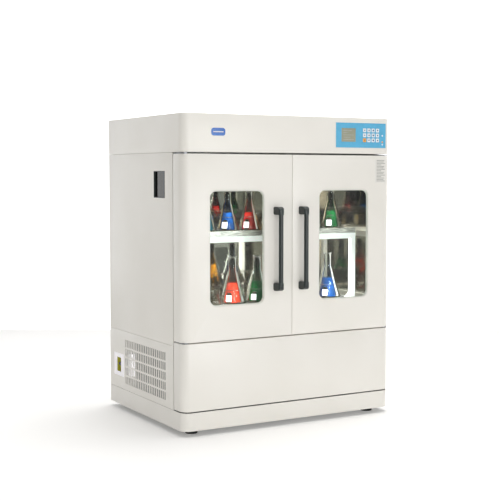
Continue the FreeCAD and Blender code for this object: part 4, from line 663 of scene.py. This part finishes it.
def clamp_places():
    """Deck, row, column, centre and base height of every clamp, stepped from the stated clamp openings."""
    stated = {}
    for opening in frame["record"]["physics"]["openings"]:
        words = opening["name"].split("_")
        if "clamp" in words:
            low, high = (Vector(corner) for corner in opening["box_m"])
            stated[words[0], int(words[2]) - 1, int(words[3]) - 1] = Vector(((low.x + high.x) / 2,
                                                                            (low.y + high.y) / 2, low.z))
    places = []
    for deck, rows in FLASK_COLOURS.items():
        step = stated[deck, 1, 0] - stated[deck, 0, 0]
        for row in range(len(rows)):
            for column in range(len(rows[0])):
                places.append((deck, row, column, stated[deck, 0, column] + step * row))
    return places


def flask_profile(body_radius, height, neck_radius):
    """Half outline of a conical flask from the middle of its foot to the inside of its lip."""
    foot = body_radius * FOOT_ROUNDING
    shoulder = height * SHOULDER_SHARE
    points = [(AXIS_RADIUS, 0.0), (body_radius - foot, 0.0)]
    steps = 5
    sweep = math.radians(110)
    for step in range(1, steps + 1):
        angle = -math.pi / 2 + step * sweep / steps
        points.append((body_radius - foot + foot * math.cos(angle), foot + foot * math.sin(angle)))
    points += [(neck_radius + (body_radius - neck_radius) * 0.12, shoulder * 0.92), (neck_radius, shoulder),
               (neck_radius, height - 9 * MM), (neck_radius + LIP / 3, height - 5 * MM),
               (neck_radius + LIP, height - 2.5 * MM), (neck_radius + LIP, height)]
    return points


class INCUBATOR_OT_flasks(bpy.types.Operator):
    """Conical flasks with dyed water, standing in the clamps"""
    bl_idname = "incubator.flasks"
    bl_label = "Flasks"

    def execute(self, context):
        for deck, row, column, centre in clamp_places():
            colour = FLASK_COLOURS[deck][row][column]
            if colour:
                self.flask(deck, "%s_%d_%d" % (deck, row + 1, column + 1), centre, colour)
        return {"FINISHED"}

    def flask(self, deck, place, centre, colour):
        """Glass with an outer and an inner skin, and the dyed water in it."""
        wall = sizes().glass_wall * MM
        outline = flask_profile(FLASK_RADIUS[deck], FLASK_HEIGHT[deck], NECK_RADIUS[deck])
        mesh = bmesh.new()
        spin_profile(mesh, centre, outline, sizes().flask_steps)
        inner = [(max(radius - wall, AXIS_RADIUS), max(rise, wall)) for radius, rise in outline]
        inner[-1] = (inner[-1][0], outline[-1][1])
        spin_profile(mesh, centre, inner[::-1], sizes().flask_steps)
        bmesh.ops.remove_doubles(mesh, verts=mesh.verts, dist=0.02 * MM)
        finish_mesh("visual_flask_" + place, mesh, "platform", "clear_glass", "flask")
        self.fill("visual_liquid_" + place, centre, inner, FLASK_HEIGHT[deck] * sizes().fill_share, colour)

    def fill(self, name, centre, inner, level, colour):
        """Water up to a level, a hair inside the glass."""
        points = [(max(radius - LIQUID_GAP, AXIS_RADIUS), rise + 0.3 * MM)
                  for radius, rise in inner if rise < level]
        last, above = points[-1], [p for p in inner if p[1] >= level][0]
        share = (level - last[1]) / (above[1] - last[1])
        rim = last[0] + (above[0] - last[0]) * share
        points += [(rim - LIQUID_GAP, level), (AXIS_RADIUS, level)]
        mesh = bmesh.new()
        spin_profile(mesh, centre, points, sizes().flask_steps)
        tidy_shell(mesh)
        finish_mesh(name, mesh, "platform", "clear_glass", colour)


class INCUBATOR_OT_clamp_springs(bpy.types.Operator):
    """Sprung wire rings round the clamp fingers and the white tabs of the front row"""
    bl_idname = "incubator.clamp_springs"
    bl_label = "Clamp springs"

    def execute(self, context):
        for deck, radius in CLAMP_RADIUS.items():
            mesh = bmesh.new()
            ring = radius - SPRING_RISE * math.tan(FINGER_LEAN) + 2.2 * MM
            places = [place for place in clamp_places() if place[0] == deck]
            for *_, centre in places:
                add_ring(mesh, centre + Vector((0, 0, SPRING_RISE)), ring, sizes().spring_wire * MM, 36, 6)
            for _, row, _, centre in places:
                if row == 0:
                    self.tab(mesh, centre, radius)
            finish_mesh("visual_clamp_springs_" + deck, mesh, "platform", "stainless", "spring", "tab")
        return {"FINISHED"}

    def tab(self, mesh, centre, radius):
        """White card on the outside of the clamp's front left finger, lit by a painted glow that also stands
        in for the finger's bright highlight.
        """
        reach = radius - (TAB_RISE - 2.0 * MM) * math.tan(FINGER_LEAN) + 3.0 * MM
        spot = Matrix.Translation((0, -reach, TAB_RISE))
        place = Matrix.Translation(centre) @ Matrix.Rotation(-math.pi / 4, 4, "Z") @ spot
        place = place @ Matrix.Rotation(-FINGER_LEAN, 4, "X")
        round_edges(mesh, add_block(mesh, place, TAB_SIZE, 1), 0.5 * MM, 2)


# ---- camera, floor and light ---------------------------------------------------------------
# Places, targets and sizes are in metres, turns in degrees and powers in watts.
LENS_MM = 78.8
SENSOR_MM = 36.0
CAMERA_PLACE = (-2.661, -4.624, 1.151)
CAMERA_DIP = 3.916
CAMERA_HEADING = 29.874
FLOOR_HALF = 30.0
FLOOR_GLOW = 0.2
BACKDROP_HALF = 20.0
BACKDROP_PLACE = (1.4, 2.4, 9.0)
BACKDROP_TURN = -29.9
KEY_LAMP = ((-1.0, -5.4, 2.0), (0.0, -0.4, 0.8), 2.2)
TOP_LAMP = ((0.6, 0.2, 4.2), (0.0, -0.2, 0.0), 3.0)
TOP_SHARE = 2.0
STREAKS = ((0.55, 16.0), (-0.3, 10.0))
STREAK_Y = -2.6
STREAK_SIZE = (0.07, 1.5)
CHAMBER_RISES = (-0.19, 0.21)
CHAMBER_LAMP = 0.2
CHAMBER_SHARE = 0.4
FILL_Y = 0.1
FILL_SHARE = 0.8
BAY_LAMP = ((-0.54, 0.05, 0.26), (0.4, 0.05, 0.2), 0.3)


class INCUBATOR_OT_stage(bpy.types.Operator):
    """Pale floor and backdrop, soft light and the camera"""
    bl_idname = "incubator.stage"
    bl_label = "Stage"

    def execute(self, context):
        scene = bpy.context.scene
        scene.view_settings.view_transform = "Standard"
        self.floor()
        self.backdrop()
        self.camera(scene)
        self.lights(scene)
        return {"FINISHED"}

    def floor(self):
        colour = tuple(bpy.context.scene.incubator_colours.floor) + (1.0,)
        material, tree, shader = new_material("studio_floor_matt", colour, Roughness=0.7,
                                              Emission_Color=colour, Emission_Strength=FLOOR_GLOW)
        tree.links.new(spread(tree, noise(tree, 900.0, 1.0), 0.62, 0.78), shader.inputs["Roughness"])
        self.sheet("floor", FLOOR_HALF, 2, Matrix.Identity(4), material)

    def backdrop(self):
        """White wall behind the cabinet, which shows in reflections but lights nothing matt."""
        material = new_material("lit_backdrop_white", linear("FFFFFF"), Roughness=0.9,
                                Emission_Color=linear("FFFFFF"), Emission_Strength=1.0)[0]
        turn = Matrix.Rotation(math.radians(BACKDROP_TURN), 4, "Z") @ Matrix.Rotation(math.pi / 2, 4, "X")
        wall = self.sheet("backdrop", BACKDROP_HALF, 1, Matrix.Translation(BACKDROP_PLACE) @ turn, material)
        wall.visible_diffuse = False

    def sheet(self, name, half, segments, place, material):
        """A large square of the stage."""
        mesh = bmesh.new()
        bmesh.ops.create_grid(mesh, x_segments=segments, y_segments=segments, size=half, matrix=place)
        data = bpy.data.meshes.new(name)
        mesh.to_mesh(data)
        mesh.free()
        data.materials.append(material)
        square = bpy.data.objects.new(name, data)
        bpy.context.scene.collection.objects.link(square)
        return square

    def camera(self, scene):
        camera = bpy.data.objects.new("camera", bpy.data.cameras.new("camera"))
        scene.collection.objects.link(camera)
        camera.data.lens = LENS_MM
        camera.data.sensor_width = SENSOR_MM
        camera.data.clip_end = 100.0
        camera.location = CAMERA_PLACE
        camera.rotation_euler = (math.radians(90 - CAMERA_DIP), 0.0, math.radians(-CAMERA_HEADING))
        scene.camera = camera

    def lights(self, scene):
        world = bpy.data.worlds.new("studio")
        world.use_nodes = True
        background = world.node_tree.nodes["Background"]
        background.inputs["Color"].default_value = tuple(scene.incubator_colours.world) + (1.0,)
        background.inputs["Strength"].default_value = sizes().room_light
        scene.world = world
        power = sizes().key_light
        self.area("key", *KEY_LAMP, power)
        width, height = STREAK_SIZE
        for x, watts in STREAKS:
            streak = self.area("streak", (x, STREAK_Y, 1.0), (x * 0.5, 0.0, 0.9), width, watts, height)
            streak.visible_diffuse = False
        self.area("top", *TOP_LAMP, power * TOP_SHARE)
        self.chamber_lamps(sizes().lamp_light)
        self.area("machine_bay", *BAY_LAMP, sizes().lamp_light).visible_glossy = False

    def chamber_lamps(self, power):
        """For each door, lamps just behind its panes and lamps in mid-chamber that face them."""
        for side in SIDES:
            low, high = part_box("door_%s_panes" % side)
            x = (low.x + high.x) / 2
            for rise in CHAMBER_RISES:
                z = (low.z + high.z) / 2 + rise
                lamp = self.area("chamber_" + side, (x, high.y + 4 * MM, z), (x, high.y + 1.0, z),
                                 CHAMBER_LAMP, power * CHAMBER_SHARE)
                fill = self.area("fill_" + side, (x, FILL_Y, z), (x, -1.0, z), CHAMBER_LAMP,
                                 power * FILL_SHARE)
                lamp.visible_glossy = False
                fill.visible_glossy = False

    def area(self, name, place, target, size, power, height=None):
        """A soft lamp at place that faces target: a square, or a rectangle if height is given."""
        light = bpy.data.lights.new(name, "AREA")
        light.shape = "RECTANGLE"
        light.size = size
        light.size_y = height or size
        light.energy = power
        lamp = bpy.data.objects.new(name, light)
        lamp.location = place
        lamp.rotation_euler = (Vector(target) - Vector(place)).to_track_quat("-Z", "Y").to_euler()
        lamp.visible_camera = False
        bpy.context.scene.collection.objects.link(lamp)
        return lamp


# ---- panel and registration ----------------------------------------------------------------
OPERATORS = (
    INCUBATOR_OT_stage,
    INCUBATOR_OT_casing,
    INCUBATOR_OT_doors,
    INCUBATOR_OT_handles,
    INCUBATOR_OT_inside,
    INCUBATOR_OT_controls,
    INCUBATOR_OT_labels,
    INCUBATOR_OT_flasks,
    INCUBATOR_OT_clamp_springs,
)


class INCUBATOR_PT_panel(bpy.types.Panel):
    """Lists the builders and their settings"""
    bl_idname = "INCUBATOR_PT_panel"
    bl_label = "Shaking incubator"
    bl_space_type = "VIEW_3D"
    bl_region_type = "UI"
    bl_category = "Incubator"

    def draw(self, context):
        for group in (context.scene.incubator_sizes, context.scene.incubator_colours):
            for name in group.bl_rna.properties.keys():
                if name not in ("rna_type", "name"):
                    self.layout.prop(group, name)
        for operator in OPERATORS:
            self.layout.operator(operator.bl_idname)


CLASSES = (IncubatorSizes, IncubatorColours) + OPERATORS + (INCUBATOR_PT_panel,)


def register():
    for cls in CLASSES:
        bpy.utils.register_class(cls)
    bpy.types.Scene.incubator_sizes = PointerProperty(type=IncubatorSizes)
    bpy.types.Scene.incubator_colours = PointerProperty(type=IncubatorColours)


def unregister():
    del bpy.types.Scene.incubator_colours
    del bpy.types.Scene.incubator_sizes
    for cls in reversed(CLASSES):
        bpy.utils.unregister_class(cls)


def main():
    register()
    make_materials()
    for operator in OPERATORS:
        category, action = operator.bl_idname.split(".")
        getattr(getattr(bpy.ops, category), action)()


if __name__ == "__main__":
    main()
